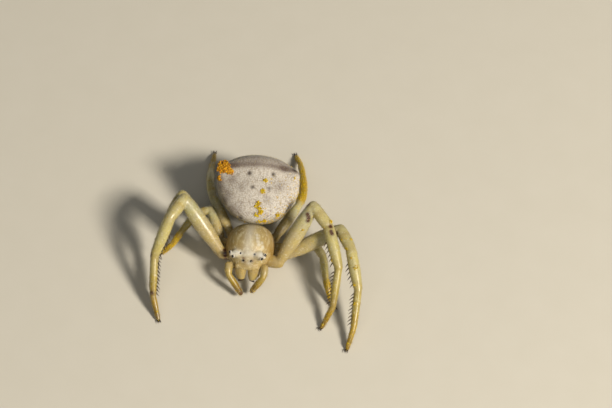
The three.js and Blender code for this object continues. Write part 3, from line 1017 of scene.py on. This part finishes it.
def make_claws(leg, joints):
    """Two curved claws and a dark tuft of stiff hairs at the tip of a tarsus."""
    heel, toe = joints[TARSUS], joints[TIP]
    way = Vector((toe.x - heel.x, toe.y - heel.y, 0)).normalized()
    across = Vector((-way.y, way.x, 0))

    def beside(base, side, aside, ahead, up):
        return base + across * side * aside + way * ahead + Vector((0, 0, up))

    roots = [beside(toe, side, *CLAW_ROOT) for side in (-1, 1)]
    ways = [beside(way, side, *CLAW_LEAN) for side in (-1, 1)]
    lies = [way - Vector((0, 0, 1))] * 2
    claws = copies(
        CLAW, np.array(roots), np.array(ways), np.array(lies),
        np.full(2, CLAW_LENGTH), np.full(2, CLAW_THICKNESS),
    )
    finish_piece(claws, f"leg_{leg}_claws", HORN)
    angle = draw.uniform(0, math.tau, TUFT_HAIRS)
    spread = draw.uniform(*TUFT_FILLING, TUFT_HAIRS)
    out = (
        np.array(across) * (np.cos(angle) * spread)[:, None]
        + np.array((0, 0, 1)) * (np.sin(angle) * spread)[:, None]
    )
    roots = np.array(toe) + np.array(way) * TUFT_AHEAD + out * TUFT_RADIUS
    roots[:, 2] = np.maximum(roots[:, 2], TUFT_HEIGHT)
    ways = np.array(way) + out * TUFT_SPLAY
    ways[:, 2] = np.maximum(ways[:, 2], -TUFT_DROOP)
    lies = out + (0, 0, 0.01)
    lengths = draw.uniform(*TUFT_HAIR_LENGTH, TUFT_HAIRS)
    unwrap = 0.5 + out[:, [0, 2]] * TUFT_MAP_SCALE
    tuft = copies(FINE_HAIR, roots, ways, lies, lengths, lengths * TUFT_HAIR_STOUTNESS, unwrap)
    finish_piece(tuft, f"leg_{leg}_claw_tuft", HORN)


# Grains of pollen on each leg, most of them where it is dusted, and clumps at places in the
# picture with their radius in millimetres and their grains
LEG_GRAINS = {"l1": 110, "r1": 60, "l2": 150, "r2": 50, "l3": 420, "r3": 460, "l4": 900, "r4": 120}
LEG_CLUMPS = {
    "l1": ((303.0, 230.0, 0.08, 8), (332.0, 260.5, 0.1, 12), (322.5, 325.0, 0.08, 8),
           (331.0, 221.8, 0.13, 18)),
    "l2": ((346.5, 248.5, 0.1, 10), (350.5, 239.5, 0.12, 14), (355.5, 268.0, 0.14, 18),
           (355.0, 304.0, 0.14, 18), (341.7, 240.0, 0.08, 7), (347.5, 344.0, 0.1, 10),
           (351.0, 258.0, 0.08, 8), (354.5, 285.0, 0.1, 10)),
    "r1": ((157.0, 312.0, 0.08, 8),),
}
GRAIN_RADIUS = (0.016, 0.034)
LEG_CLUMP_GRAIN = 0.035
CLEAN_LEG_SHARE = 0.05
GRAINS_FADE = 0.4


def make_leg_pollen(leg, skin, joints, radii, seen):
    number = LEG_GRAINS[leg]
    _, start = DUST[leg]

    def weight(centres):
        along, _ = measured_along(centres, joints, radii)
        return CLEAN_LEG_SHARE + rising(along, start, GRAINS_FADE)

    roots, ways = scattered(skin, number, weight)
    sizes = draw.uniform(*GRAIN_RADIUS, number)
    if leg in LEG_CLUMPS:
        loose = (roots, ways, sizes)
        heaped = clumps(seen, LEG_CLUMPS[leg], LEG_CLUMP_GRAIN)
        roots, ways, sizes = (np.concatenate(pair) for pair in zip(loose, heaped))
    roots[:, 2] = np.maximum(roots[:, 2], sizes)
    lay_grains(f"leg_{leg}_pollen", YELLOW_POLLEN, "legs", roots, ways, sizes)


# A heap of grains: how far it is pressed flat on the skin, how far its middle stands above it, how
# its grains crowd outwards, their range of sizes, and how high each stands on the skin in its radii
HEAP_FLATNESS = 0.6
HEAP_RISE = 0.1
HEAP_CROWDING = 0.4
HEAP_GRAIN_RANGE = (0.7, 1.25)
HEAP_GRAIN_SEAT = 0.6


def clumps(seen, places, radius):
    """Grains heaped round places on a skin, each resting on it or on other grains."""
    roots = []
    for x, y, spread, number in places:
        point, normal = seen_at(seen, x, y)
        if point is None:
            continue
        normal = np.array(normal)
        heap = unit(draw.normal(0, 1, (number, 3)))
        heap = heap * draw.uniform(0, 1, (number, 1)) ** HEAP_CROWDING * spread
        heap -= HEAP_FLATNESS * (heap @ normal)[:, None] * normal
        roots.append(np.array(point) + normal * spread * HEAP_RISE + heap)
    roots = np.concatenate(roots)
    smallest, largest = HEAP_GRAIN_RANGE
    sizes = draw.uniform(radius * smallest, radius * largest, len(roots))
    resting = []
    for root, size in zip(roots, sizes):
        nearest, normal, _, _ = seen.find_nearest(Vector(root))
        height = (Vector(root) - nearest).dot(normal)
        resting.append(nearest + normal * max(height, size * HEAP_GRAIN_SEAT))
    return np.array(resting), draw.normal(0, 1, (len(roots), 3)), sizes


for name in POSE:
    make_leg(name)


# Head and its shield

def carapace_top(x, y):
    """Height of the carapace's upper surface over a point of its plan."""
    t = (y - CARAPACE_FRONT) / (CARAPACE_REAR - CARAPACE_FRONT)
    ring = 2 * math.sqrt(t * (1 - t))
    across = x / (CARAPACE["width"](t) * ring)
    return CARAPACE_MARGIN + CARAPACE["rise"](t) * ring * math.sqrt(1 - across * across)


def eye_places(side):
    def on_top(place):
        return mirrored((*place, carapace_top(*place)), side), MEDIAN_EYE

    def on_tubercle(away):
        return mirrored(Vector(TUBERCLE_TIP) + Vector(away), side), LATERAL_EYE

    return {
        "front_middle": on_top(FRONT_MIDDLE_EYE), "rear_middle": on_top(REAR_MIDDLE_EYE),
        "front_outer": on_tubercle(FRONT_OUTER_EYE), "rear_outer": on_tubercle(REAR_OUTER_EYE),
    }


# Brown marks and white streaks on the head: place in the camera's picture, radius in millimetres,
# strength
HEAD_MARKS = (
    (243.6, 258.0, 0.1, 0.8), (243.9, 260.6, 0.13, 0.8), (251.9, 260.9, 0.12, 0.8),
    (253.2, 259.8, 0.08, 0.5), (267.6, 229.6, 0.2, 0.5), (266.6, 233.8, 0.12, 0.35),
)
HEAD_STREAKS = (
    (256.8, 235.0, 0.13, 0.8), (257.4, 238.0, 0.13, 0.8), (258.0, 241.5, 0.14, 0.8),
    (258.6, 244.5, 0.12, 0.7), (262.0, 243.0, 0.11, 0.6), (262.4, 247.0, 0.1, 0.6),
    (236.0, 251.5, 0.24, 0.75), (260.5, 254.0, 0.22, 0.7), (249.0, 263.0, 0.2, 0.5),
    (248.0, 254.0, 0.25, 0.5),
)

# Chalk white: its strength and its spread about an eye of each kind, and a band between them that
# ends at a distance from the middle
EYE_CHALK = {"outer": (0.6, 0.24), "middle": (0.35, 0.16)}
CHALK_BAND_STRENGTH = 0.4
CHALK_BAND_PLACE = -1.03
CHALK_BAND_SPREAD = 0.15
CHALK_BAND_REACH = 1.2
MOST_CHALK = 0.9

# The amber of the flanks, from a distance from the middle outwards, and the pale streak on top
AMBER_START = 0.75
AMBER_FADE = 0.75
AMBER_CURVE = 1.5
AMBER_STRENGTH = 0.85
AMBER_OVER_CHALK = 1.2
CROWN_HEIGHT = 2.2
CROWN_FADE = 0.6
CROWN_STREAK = 0.55
CROWN_STREAK_SPREAD = 0.35


def make_head():
    parts = [swollen(CARAPACE), swollen(STERNUM)]
    for side in (-1, 1):
        root, tip = mirrored(TUBERCLE_ROOT, side), mirrored(TUBERCLE_TIP, side)
        parts.append(limb(root, tip, TUBERCLE_RADII))
        parts.append(limb(mirrored(ENDITE_ROOT, side), mirrored(ENDITE_TIP, side), ENDITE_RADII))
    parts.append(limb(mirrored(CLYPEUS_CORNER, -1), mirrored(CLYPEUS_CORNER, 1), CLYPEUS_RADII))
    parts.append(limb(Vector(STALK[0]), Vector(STALK[1]), STALK_RADII))
    skin = fused(parts, *HEAD_SKIN)
    points = vertices_of(skin)
    x, y, z = points.T
    chalk = np.zeros(len(points))
    for kind, (strength, spread) in EYE_CHALK.items():
        eyes = [
            place for side in (-1, 1) for name, (place, _) in eye_places(side).items() if kind in name
        ]
        chalk += strength * np.max([near(points, eye, spread) for eye in eyes], axis=0)
    band = bell(y, CHALK_BAND_PLACE, CHALK_BAND_SPREAD)
    band = band * (np.abs(x) < CHALK_BAND_REACH) * (z > CROWN_HEIGHT)
    chalk = np.clip(chalk + CHALK_BAND_STRENGTH * band, 0, MOST_CHALK)
    amber = rising(np.abs(x), AMBER_START, AMBER_FADE) ** AMBER_CURVE
    amber = amber * np.clip(AMBER_OVER_CHALK - chalk, 0, 1)
    streak = CROWN_STREAK * bell(x, 0, CROWN_STREAK_SPREAD) * rising(z, CROWN_HEIGHT, CROWN_FADE)
    seen = tree_of(skin)
    paint(skin, "chalk", chalk)
    paint(skin, "flank", AMBER_STRENGTH * amber)
    paint(skin, "streak", np.maximum(streak, marked(points, seen, HEAD_STREAKS)))
    paint(skin, "mark", marked(points, seen, HEAD_MARKS))
    make_head_bristles(skin)
    finish_piece(skin, "cephalothorax_skin", SHELL, ["cephalothorax"])


# Bristles of the head: how many, above which height, how thickly behind and how many more towards
# the front, and how they lean and lie
HEAD_BRISTLES = 150
HEAD_BRISTLES_FROM = 1.5
HEAD_BRISTLING = 0.3
HEAD_BRISTLE_LENGTH = (0.1, 0.26)
HEAD_BRISTLE_LEAN = (0, -0.5, 0.2)
HEAD_BRISTLE_LIE = (0.01, -1, 0.3)
HEAD_BRISTLE_TANGLE = 0.15
HEAD_MAP_WIDTH = 4


def make_head_bristles(skin):
    """Sparse upright bristles on the head, longest above the jaws."""
    def weight(centres):
        frontwards = np.clip(-centres[:, 1], 0, 2)
        return (centres[:, 2] > HEAD_BRISTLES_FROM) * (HEAD_BRISTLING + frontwards)

    roots, normals = scattered(skin, HEAD_BRISTLES, weight)
    lengths = draw.uniform(*HEAD_BRISTLE_LENGTH, HEAD_BRISTLES)
    ways = normals + HEAD_BRISTLE_LEAN + tangle(HEAD_BRISTLES, HEAD_BRISTLE_TANGLE)
    lies = np.tile(HEAD_BRISTLE_LIE, (HEAD_BRISTLES, 1))
    unwrap = 0.5 + roots[:, :2] / HEAD_MAP_WIDTH
    lay_bristles("head_bristles", roots, normals, ways, lies, lengths, unwrap)


# Eyes: the point that they look away from, how finely they are turned, and the pale rim about all
# but the front middle ones, as radius and height in radii of the eye
EYES_LOOK_FROM = Vector((0, -0.25, 1.9))
EYE_AROUND = 24
EYE_ALONG = 16
EYE_RIM = ((0, -0.6), (1.25, -0.6), (1.26, -0.1), (1.12, 0.12), (0.95, 0.2), (0, 0.1))


def make_eyes():
    for letter, side in SIDES.items():
        for name, (place, radius) in eye_places(side).items():
            eye = f"eye_{name}_{letter}"
            bm = bmesh.new()
            bmesh.ops.create_uvsphere(bm, u_segments=EYE_AROUND, v_segments=EYE_ALONG, radius=radius)
            bmesh.ops.translate(bm, verts=bm.verts, vec=place)
            finish_piece(mesh_of(bm), f"{eye}_lens", LENS, [eye])
            if name == "front_middle":
                continue
            out = (place - EYES_LOOK_FROM).normalized()
            outline = [(across * radius, height * radius) for across, height in EYE_RIM]
            ring = turned(outline, place, place + out, EYE_AROUND)
            finish_piece(mesh_of(ring), f"{eye}_rim", RIM)


# A jaw is fuller on its outer side, and blunt beyond its tip, where it turns darker
JAW_WIDENING = Vector((0.12, 0.03, 0.02))
OUTER_JAW_RADII = (0.26, 0.27, 0.2)
JAW_BLUNTNESS = 0.55
JAW_TINT = 0.5
JAW_TIP_START = 1.06
JAW_TIP_TINT = 2.2
JAW_BRISTLES = 40
JAW_BRISTLE_LIE = (-0.1, -0.6, -0.7)

# A fang: where its root lies from the jaw's tip, and its way and its lie, on the left side
FANG_ROOT = (0.16, -0.16, -0.06)
FANG_WAY = (-1, -0.1, -0.2)
FANG_LIE = (-1, 0.3, 0.6)
FANG_LENGTH = 0.36


def make_chelicerae():
    for letter, side in SIDES.items():
        root, tip = mirrored(CHELICERA_ROOT, side), mirrored(CHELICERA_TIP, side)
        outer = [place + mirrored(JAW_WIDENING, side) for place in (root, tip)]
        skin = fused([limb(root, tip, CHELICERA_RADII), limb(*outer, OUTER_JAW_RADII)], *MOUTH_SKIN)
        points = vertices_of(skin)
        line = np.array(tip - root)
        place = (points - np.array(root)) @ line / (line @ line)
        points -= (JAW_BLUNTNESS * np.clip(place - 1, 0, None))[:, None] * line
        moved(skin, points)
        dark = JAW_TIP_TINT * np.clip(place - JAW_TIP_START, 0, 1)
        paint(skin, "along", np.clip(JAW_TINT * place + dark, 0, 1))
        make_bristles_on(skin, f"chelicera_{letter}", JAW_BRISTLES, JAW_BRISTLE_LIE)
        finish_piece(skin, f"chelicera_{letter}_skin", MOUTH, [f"chelicera_{letter}"])
        fang_root = tip + mirrored(FANG_ROOT, side)
        flip = np.array((side, 1, 1))
        fang = copies(
            CLAW, np.array([fang_root]), flip * [FANG_WAY], flip * [FANG_LIE], np.array([FANG_LENGTH])
        )
        finish_piece(fang, f"fang_{letter}", HORN)


SHORT_BRISTLE_LENGTH = (0.09, 0.18)
SHORT_BRISTLE_LEAN = 0.6


def make_bristles_on(skin, name, number, lie):
    """A few fine bristles on a small piece, all lying one way."""
    roots, normals = scattered(skin, number)
    ways = normals + np.array(lie) * SHORT_BRISTLE_LEAN + tangle(number, BRISTLE_TANGLE)
    lies = np.tile(np.array(lie, float), (number, 1))
    low, high = roots.min(axis=0), roots.max(axis=0)
    unwrap = ((roots - low) / (high - low))[:, :2] * (1 - BAKE_PATCH)
    lengths = draw.uniform(*SHORT_BRISTLE_LENGTH, number)
    lay_bristles(f"{name}_bristles", roots, normals, ways, lies, lengths, unwrap)


PALP_BRISTLES = 320
PALP_BRISTLE_RISE = 0.8
PALP_GRAINS = 60


def make_palps():
    for letter, places in PALPS.items():
        joints = [mirrored(place, SIDES[letter]) for place in (PALP_ROOT,) + places]
        skin = fused(chain(joints, PALP_RADII), *MOUTH_SKIN)
        along, _ = measured_along(vertices_of(skin), joints, PALP_RADII)
        paint(skin, "along", along / len(PALP_RADII))
        bristles_along(
            f"palp_{letter}_bristles", skin, joints, PALP_RADII, PALP_BRISTLES,
            PALP_BRISTLE_RISE, lambda centres: 1.4 - centres[:, 2] / 2,
        )
        roots, ways = scattered(skin, PALP_GRAINS, lambda centres: np.clip(1.0 - centres[:, 2], 0.02, 1))
        sizes = draw.uniform(*GRAIN_RADIUS, PALP_GRAINS)
        lay_grains(f"palp_{letter}_pollen", YELLOW_POLLEN, "mouthparts", roots, ways, sizes)
        finish_piece(skin, f"palp_{letter}_skin", MOUTH, [f"palp_{letter}"])


make_head()
make_eyes()
make_chelicerae()
make_palps()


# Abdomen

def in_abdomen_place(points):
    """Points from the abdomen's own frame to where the spider carries it."""
    turn = np.array(Matrix.Rotation(ABDOMEN_TURN, 3, "Z") @ Matrix.Rotation(ABDOMEN_ROLL, 3, "Y"))
    pivot = np.array((0, ABDOMEN_FRONT, ABDOMEN_AXIS))
    return (points - pivot) @ turn.T + pivot + (ABDOMEN_SHIFT, 0, 0)


# Muscle dots, other dark marks, and grey-brown patches together with painted shadow on the
# left flank: place in the camera's picture, radius in millimetres, strength
MUSCLE_DOTS = (
    (249.4, 172.9, 0.15, 1), (273.3, 174.3, 0.13, 1), (252.3, 186.7, 0.12, 0.85),
    (269.1, 188.2, 0.13, 0.6),
)
DARK_MARKS = (
    (295.0, 170.4, 0.14, 1), (293.4, 169.8, 0.1, 0.6), (240.6, 217.8, 0.16, 0.9),
    (286.8, 210.5, 0.11, 0.8), (288.4, 208.0, 0.12, 0.9), (290.0, 205.2, 0.1, 0.7),
)
# Grey-brown patches on the back; the strongest ones, low on the left, are painted shadow on that flank
PATCHES_AND_PAINTED_SHADOW = (
    (232.0, 179.5, 0.35, 1), (241.0, 187.0, 0.32, 0.7), (280.0, 186.5, 0.42, 0.7),
    (267.0, 200.0, 0.25, 0.6), (226.0, 196.0, 0.5, 0.9), (236.0, 211.0, 0.45, 0.8),
    (246.0, 182.0, 0.25, 0.4), (286.0, 183.5, 0.3, 0.4), (220.5, 188.0, 0.45, 1.2),
    (224.0, 200.0, 0.5, 1.2), (231.0, 209.0, 0.4, 1.1), (220.0, 180.0, 0.4, 1.1),
    (231.0, 166.5, 0.35, 0.6), (284.0, 168.5, 0.3, 0.5), (257.0, 163.0, 0.4, 0.3),
)
DOT_DEPTH = 0.05
PATCH_STRENGTH = 0.6
MOST_SPOT = 0.95

# The dark point on each hump: where it lies from the hump's place on the left side
HUMP_POINT = (0.2, 0.1, 0.2)
HUMP_POINT_RADIUS = 0.2
HUMP_POINT_STRENGTH = 0.95

# Fine folds that run back from the front, and rings about the rear: how many there are, how they
# sway, how far along the abdomen they reach and how deep they are
FOLDS = 46
FOLD_SWAY = 3
FOLD_SWAYS = 7
FOLD_REACH = 0.1
FOLD_DEPTH = 0.006
RINGS = 60
RING_SWAY = 2
RING_SWAYS = 5
RINGS_START = 0.65
RINGS_FADE = 0.3
RING_DEPTH = 0.008

# Olive underside from a height downwards, darkened as painted shade below the belly
OLIVE_HEIGHT = 3.3
OLIVE_FADE = 0.9
MOST_OLIVE = 0.95


def make_abdomen():
    mesh = mesh_of(swollen(ABDOMEN))
    points = vertices_of(mesh)
    sides = np.where(points[:, :1] < 0, (-1, 1, 1), (1, 1, 1))
    hump = np.exp(-np.sum((points - sides * HUMP_PLACE) ** 2, axis=1) / HUMP_SPREAD ** 2)
    points = points + unit(sides * HUMP_WAY) * (HUMP_REACH * hump)[:, None]
    x, y, z = points.T
    t = (y - ABDOMEN_FRONT) / (ABDOMEN_REAR - ABDOMEN_FRONT)
    around = np.arctan2(x, z - ABDOMEN["middle"](t))
    points = in_abdomen_place(points)
    moved(mesh, points)
    normals = np.array([v.normal for v in mesh.vertices])
    folds = np.sin(around * FOLDS + FOLD_SWAY * np.sin(around * FOLD_SWAYS))
    folds = folds * bell(t, 0, FOLD_REACH) * FOLD_DEPTH
    rings = np.sin(t * RINGS + RING_SWAY * np.sin(around * RING_SWAYS))
    rings = rings * rising(t, RINGS_START, RINGS_FADE) * RING_DEPTH
    seen = tree_of(mesh)
    dots = marked(points, seen, MUSCLE_DOTS)
    marks = marked(points, seen, DARK_MARKS)
    points = points + normals * (folds + rings - DOT_DEPTH * dots)[:, None]
    moved(mesh, points)
    spots = dots + marks + HUMP_POINT_STRENGTH * hump_points(points)
    paint(mesh, "spot", np.clip(spots, 0, MOST_SPOT))
    # grey-brown patches, and painted shadow darkening the left flank
    patches = PATCH_STRENGTH * marked(points, seen, PATCHES_AND_PAINTED_SHADOW)
    paint(mesh, "shade", shade_on(x, y, z, t, around) + patches)
    # olive colour of the lower sides, partly painted shade under the belly
    paint(mesh, "flank", np.clip((OLIVE_HEIGHT - z) / OLIVE_FADE, 0, MOST_OLIVE))
    make_abdomen_bristles(mesh)
    make_abdomen_pollen(mesh)
    finish_piece(mesh, "abdomen_skin", BELLY, ["abdomen"])


def hump_points(points):
    """A dark point at the tip of each hump."""
    tip = np.array(HUMP_PLACE) + HUMP_POINT
    tips = in_abdomen_place(tip * [(-1, 1, 1), (1, 1, 1)])
    return np.max([near(points, tip, HUMP_POINT_RADIUS) for tip in tips], axis=0)


# Shading of the upper side, from a height upwards: the rear behind a place, a band from hump to
# hump that is stronger towards them, and dashes at the front
UPPER_HEIGHT = 3
UPPER_FADE = 0.4
REAR_PLACE = 4.2
REAR_FADE = 0.25
REAR_SHADE = 0.4
BAND_PLACE = 4.4
BAND_SPREAD = 0.2
BAND_SHADE = 0.25
MOST_BAND_SHADE = 0.6
DASHES = 40
DASH_PLACE = 0.05
DASH_SPREAD = 0.03
DASH_SHADE = 0.5
MOST_SHADE = 0.8


def shade_on(x, y, z, t, around):
    """Grey-brown shading: a band from hump to hump, the rear behind it, and fine dashes in front."""
    behind = REAR_SHADE * rising(y, REAR_PLACE, REAR_FADE)
    strength = np.clip(BAND_SHADE + BAND_SHADE * np.abs(x), BAND_SHADE, MOST_BAND_SHADE)
    band = bell(y, BAND_PLACE, BAND_SPREAD) * strength
    dashes = np.clip(np.sin(around * DASHES), 0, 1) * bell(t, DASH_PLACE, DASH_SPREAD)
    upper = rising(z, UPPER_HEIGHT, UPPER_FADE) * (behind + band)
    return np.clip(upper + DASH_SHADE * dashes, 0, MOST_SHADE)


# Bristles of the abdomen, their lean and lie, and the middle and length of the map they lie on
ABDOMEN_BRISTLES = 2600
ABDOMEN_BRISTLE_LENGTH = (0.06, 0.12)
ABDOMEN_BRISTLE_STOUTNESS = 1.4
ABDOMEN_BRISTLE_LEAN = (0, 0.45, 0)
ABDOMEN_BRISTLE_LIE = (0.01, 1, -0.3)
ABDOMEN_MAP_MIDDLE = 3
ABDOMEN_MAP_LENGTH = 7


def make_abdomen_bristles(mesh):
    """Short stubby bristles all over, leaning back."""
    roots, normals = scattered(mesh, ABDOMEN_BRISTLES)
    lengths = draw.uniform(*ABDOMEN_BRISTLE_LENGTH, ABDOMEN_BRISTLES)
    ways = normals + ABDOMEN_BRISTLE_LEAN + tangle(ABDOMEN_BRISTLES, BRISTLE_TANGLE)
    lies = np.tile(ABDOMEN_BRISTLE_LIE, (ABDOMEN_BRISTLES, 1))
    x, y, z = roots.T
    around = 0.5 + np.arctan2(x, z - ABDOMEN_MAP_MIDDLE) / math.tau
    unwrap = np.column_stack((around, y / ABDOMEN_MAP_LENGTH)) * (1 - BAKE_PATCH)
    lay_bristles(
        "abdomen_bristles", roots, normals, ways, lies, lengths, unwrap,
        ABDOMEN_BRISTLE_STOUTNESS,
    )


# Clumps of pollen on the abdomen: place in the camera's picture, radius in millimetres, grains
ORANGE_CLUMPS = (
    (224.0, 166.0, 0.42, 170), (221.5, 169.0, 0.32, 90), (230.5, 172.0, 0.2, 44),
    (219.8, 178.5, 0.2, 36), (226.5, 168.5, 0.26, 50), (224.5, 163.8, 0.3, 80),
)
YELLOW_CLUMPS = (
    (265.5, 180.7, 0.15, 26), (262.7, 191.2, 0.17, 32), (256.8, 206.2, 0.18, 36),
    (258.6, 203.0, 0.15, 26), (260.6, 211.6, 0.18, 36), (257.0, 215.0, 0.16, 28),
    (277.3, 214.8, 0.17, 30), (264.0, 220.6, 0.14, 22), (294.6, 202.4, 0.12, 12),
    (259.8, 208.5, 0.12, 16), (260.0, 221.5, 0.1, 10), (294.5, 178.5, 0.08, 6),
)
ORANGE_GRAIN = 0.06
YELLOW_GRAIN = 0.043

# Loose grains low on the flanks, most of them on the left
DUST_GRAINS = 420
DUST_GRAIN_RADIUS = (0.02, 0.045)
DUST_HEIGHT = 2.7
DUST_SPREAD = 0.8
DUST_LOWEST = 1


def make_abdomen_pollen(mesh):
    seen = tree_of(mesh)
    for name, places, radius, finish in (
        ("orange", ORANGE_CLUMPS, ORANGE_GRAIN, ORANGE_POLLEN),
        ("yellow", YELLOW_CLUMPS, YELLOW_GRAIN, YELLOW_POLLEN),
    ):
        lay_grains(f"abdomen_{name}_pollen", finish, "abdomen", *clumps(seen, places, radius))

    def low_flanks(centres):
        x, _, z = centres.T
        return bell(z, DUST_HEIGHT, DUST_SPREAD) * np.clip(x, 0.05, 2) * (z > DUST_LOWEST)

    roots, ways = scattered(mesh, DUST_GRAINS, low_flanks)
    sizes = draw.uniform(*DUST_GRAIN_RADIUS, DUST_GRAINS)
    lay_grains("abdomen_pollen_dust", YELLOW_POLLEN, "abdomen", roots, ways, sizes)


# Spinnerets: a low cone, and four more about its end
SPINNERET_CONE_LENGTH = 0.3
SPINNERET_CONE_RADII = (0.42, 0.36)
SPINNERETS = 4
SPINNERET_RING = 0.17
SPINNERET_LENGTH = 0.36
SPINNERET_RADII = (0.15, 0.11)
SPINNERET_TINT_LENGTH = 0.6
MOST_SPINNERET_TINT = 0.9
SPINNERET_BRISTLES = 120
SPINNERET_BRISTLE_LIE = (0, 1, -0.3)


def make_spinnerets():
    middle = (0, ABDOMEN_FRONT + SPINNERETS_BEHIND_FRONT, SPINNERETS_HEIGHT)
    middle, behind = in_abdomen_place(np.array((middle, np.add(middle, (0, 1, -SPINNERETS_DROOP)))))
    middle = Vector(middle)
    way = (Vector(behind) - middle).normalized()
    parts = [limb(middle - way * SPINNERET_CONE_LENGTH, middle, SPINNERET_CONE_RADII)]
    for i in range(SPINNERETS):
        angle = (i + 0.5) * math.tau / SPINNERETS
        root = middle + Vector((math.cos(angle), 0, math.sin(angle))) * SPINNERET_RING
        parts.append(limb(root, root + way * SPINNERET_LENGTH, SPINNERET_RADII))
    skin = fused(parts, *SPINNERETS_SKIN)
    reach = (vertices_of(skin) - np.array(middle)) @ np.array(way)
    paint(skin, "along", np.clip(reach / SPINNERET_TINT_LENGTH, 0, MOST_SPINNERET_TINT))
    make_bristles_on(skin, "spinnerets", SPINNERET_BRISTLES, SPINNERET_BRISTLE_LIE)
    finish_piece(skin, "spinnerets_skin", MOUTH, ["spinnerets"])


make_abdomen()
make_spinnerets()


# Floor, light and camera

# In metres; a light has the way it shines from, its distance, size, power and colour
FLOOR_HALF_WIDTH = 0.6
LIGHTS = {
    "key": ((4.0, -2.5, 4.2), 0.3, 0.06, 1.2, "#fff6e8"),
    "fill": ((-0.5, -3.0, 3.5), 0.35, 0.25, 0.2, "#fff8ec"),
}
SURROUNDINGS_COLOUR = "#dfe3e6"
SURROUNDINGS_STRENGTH = 0.13


def make_floor():
    bm = bmesh.new()
    bmesh.ops.create_grid(bm, x_segments=1, y_segments=1, size=FLOOR_HALF_WIDTH)
    floor = bpy.data.objects.new("floor", mesh_of(bm))
    floor.data.materials.append(floor_paper())
    bpy.context.scene.collection.objects.link(floor)


def make_light(name, way, distance, size, power, colour):
    """A square soft light that looks at the spider from a direction."""
    data = bpy.data.lights.new(name, "AREA")
    data.shape = "SQUARE"
    data.size = size
    data.energy = power
    data.color = linear(colour)[:3]
    light = bpy.data.objects.new(name, data)
    way = Vector(way).normalized()
    turn = way.to_track_quat("Z", "Y").to_matrix().to_4x4()
    light.matrix_world = Matrix.Translation(way * distance) @ turn
    bpy.context.scene.collection.objects.link(light)


def make_surroundings():
    world = bpy.data.worlds.new("studio")
    world.use_nodes = True
    background = world.node_tree.nodes["Background"]
    background.inputs["Color"].default_value = linear(SURROUNDINGS_COLOUR)
    background.inputs["Strength"].default_value = SURROUNDINGS_STRENGTH
    bpy.context.scene.world = world


make_floor()
for name, light in LIGHTS.items():
    make_light(name, *light)
make_surroundings()
make_camera()
bpy.context.scene.view_settings.view_transform = "Standard"
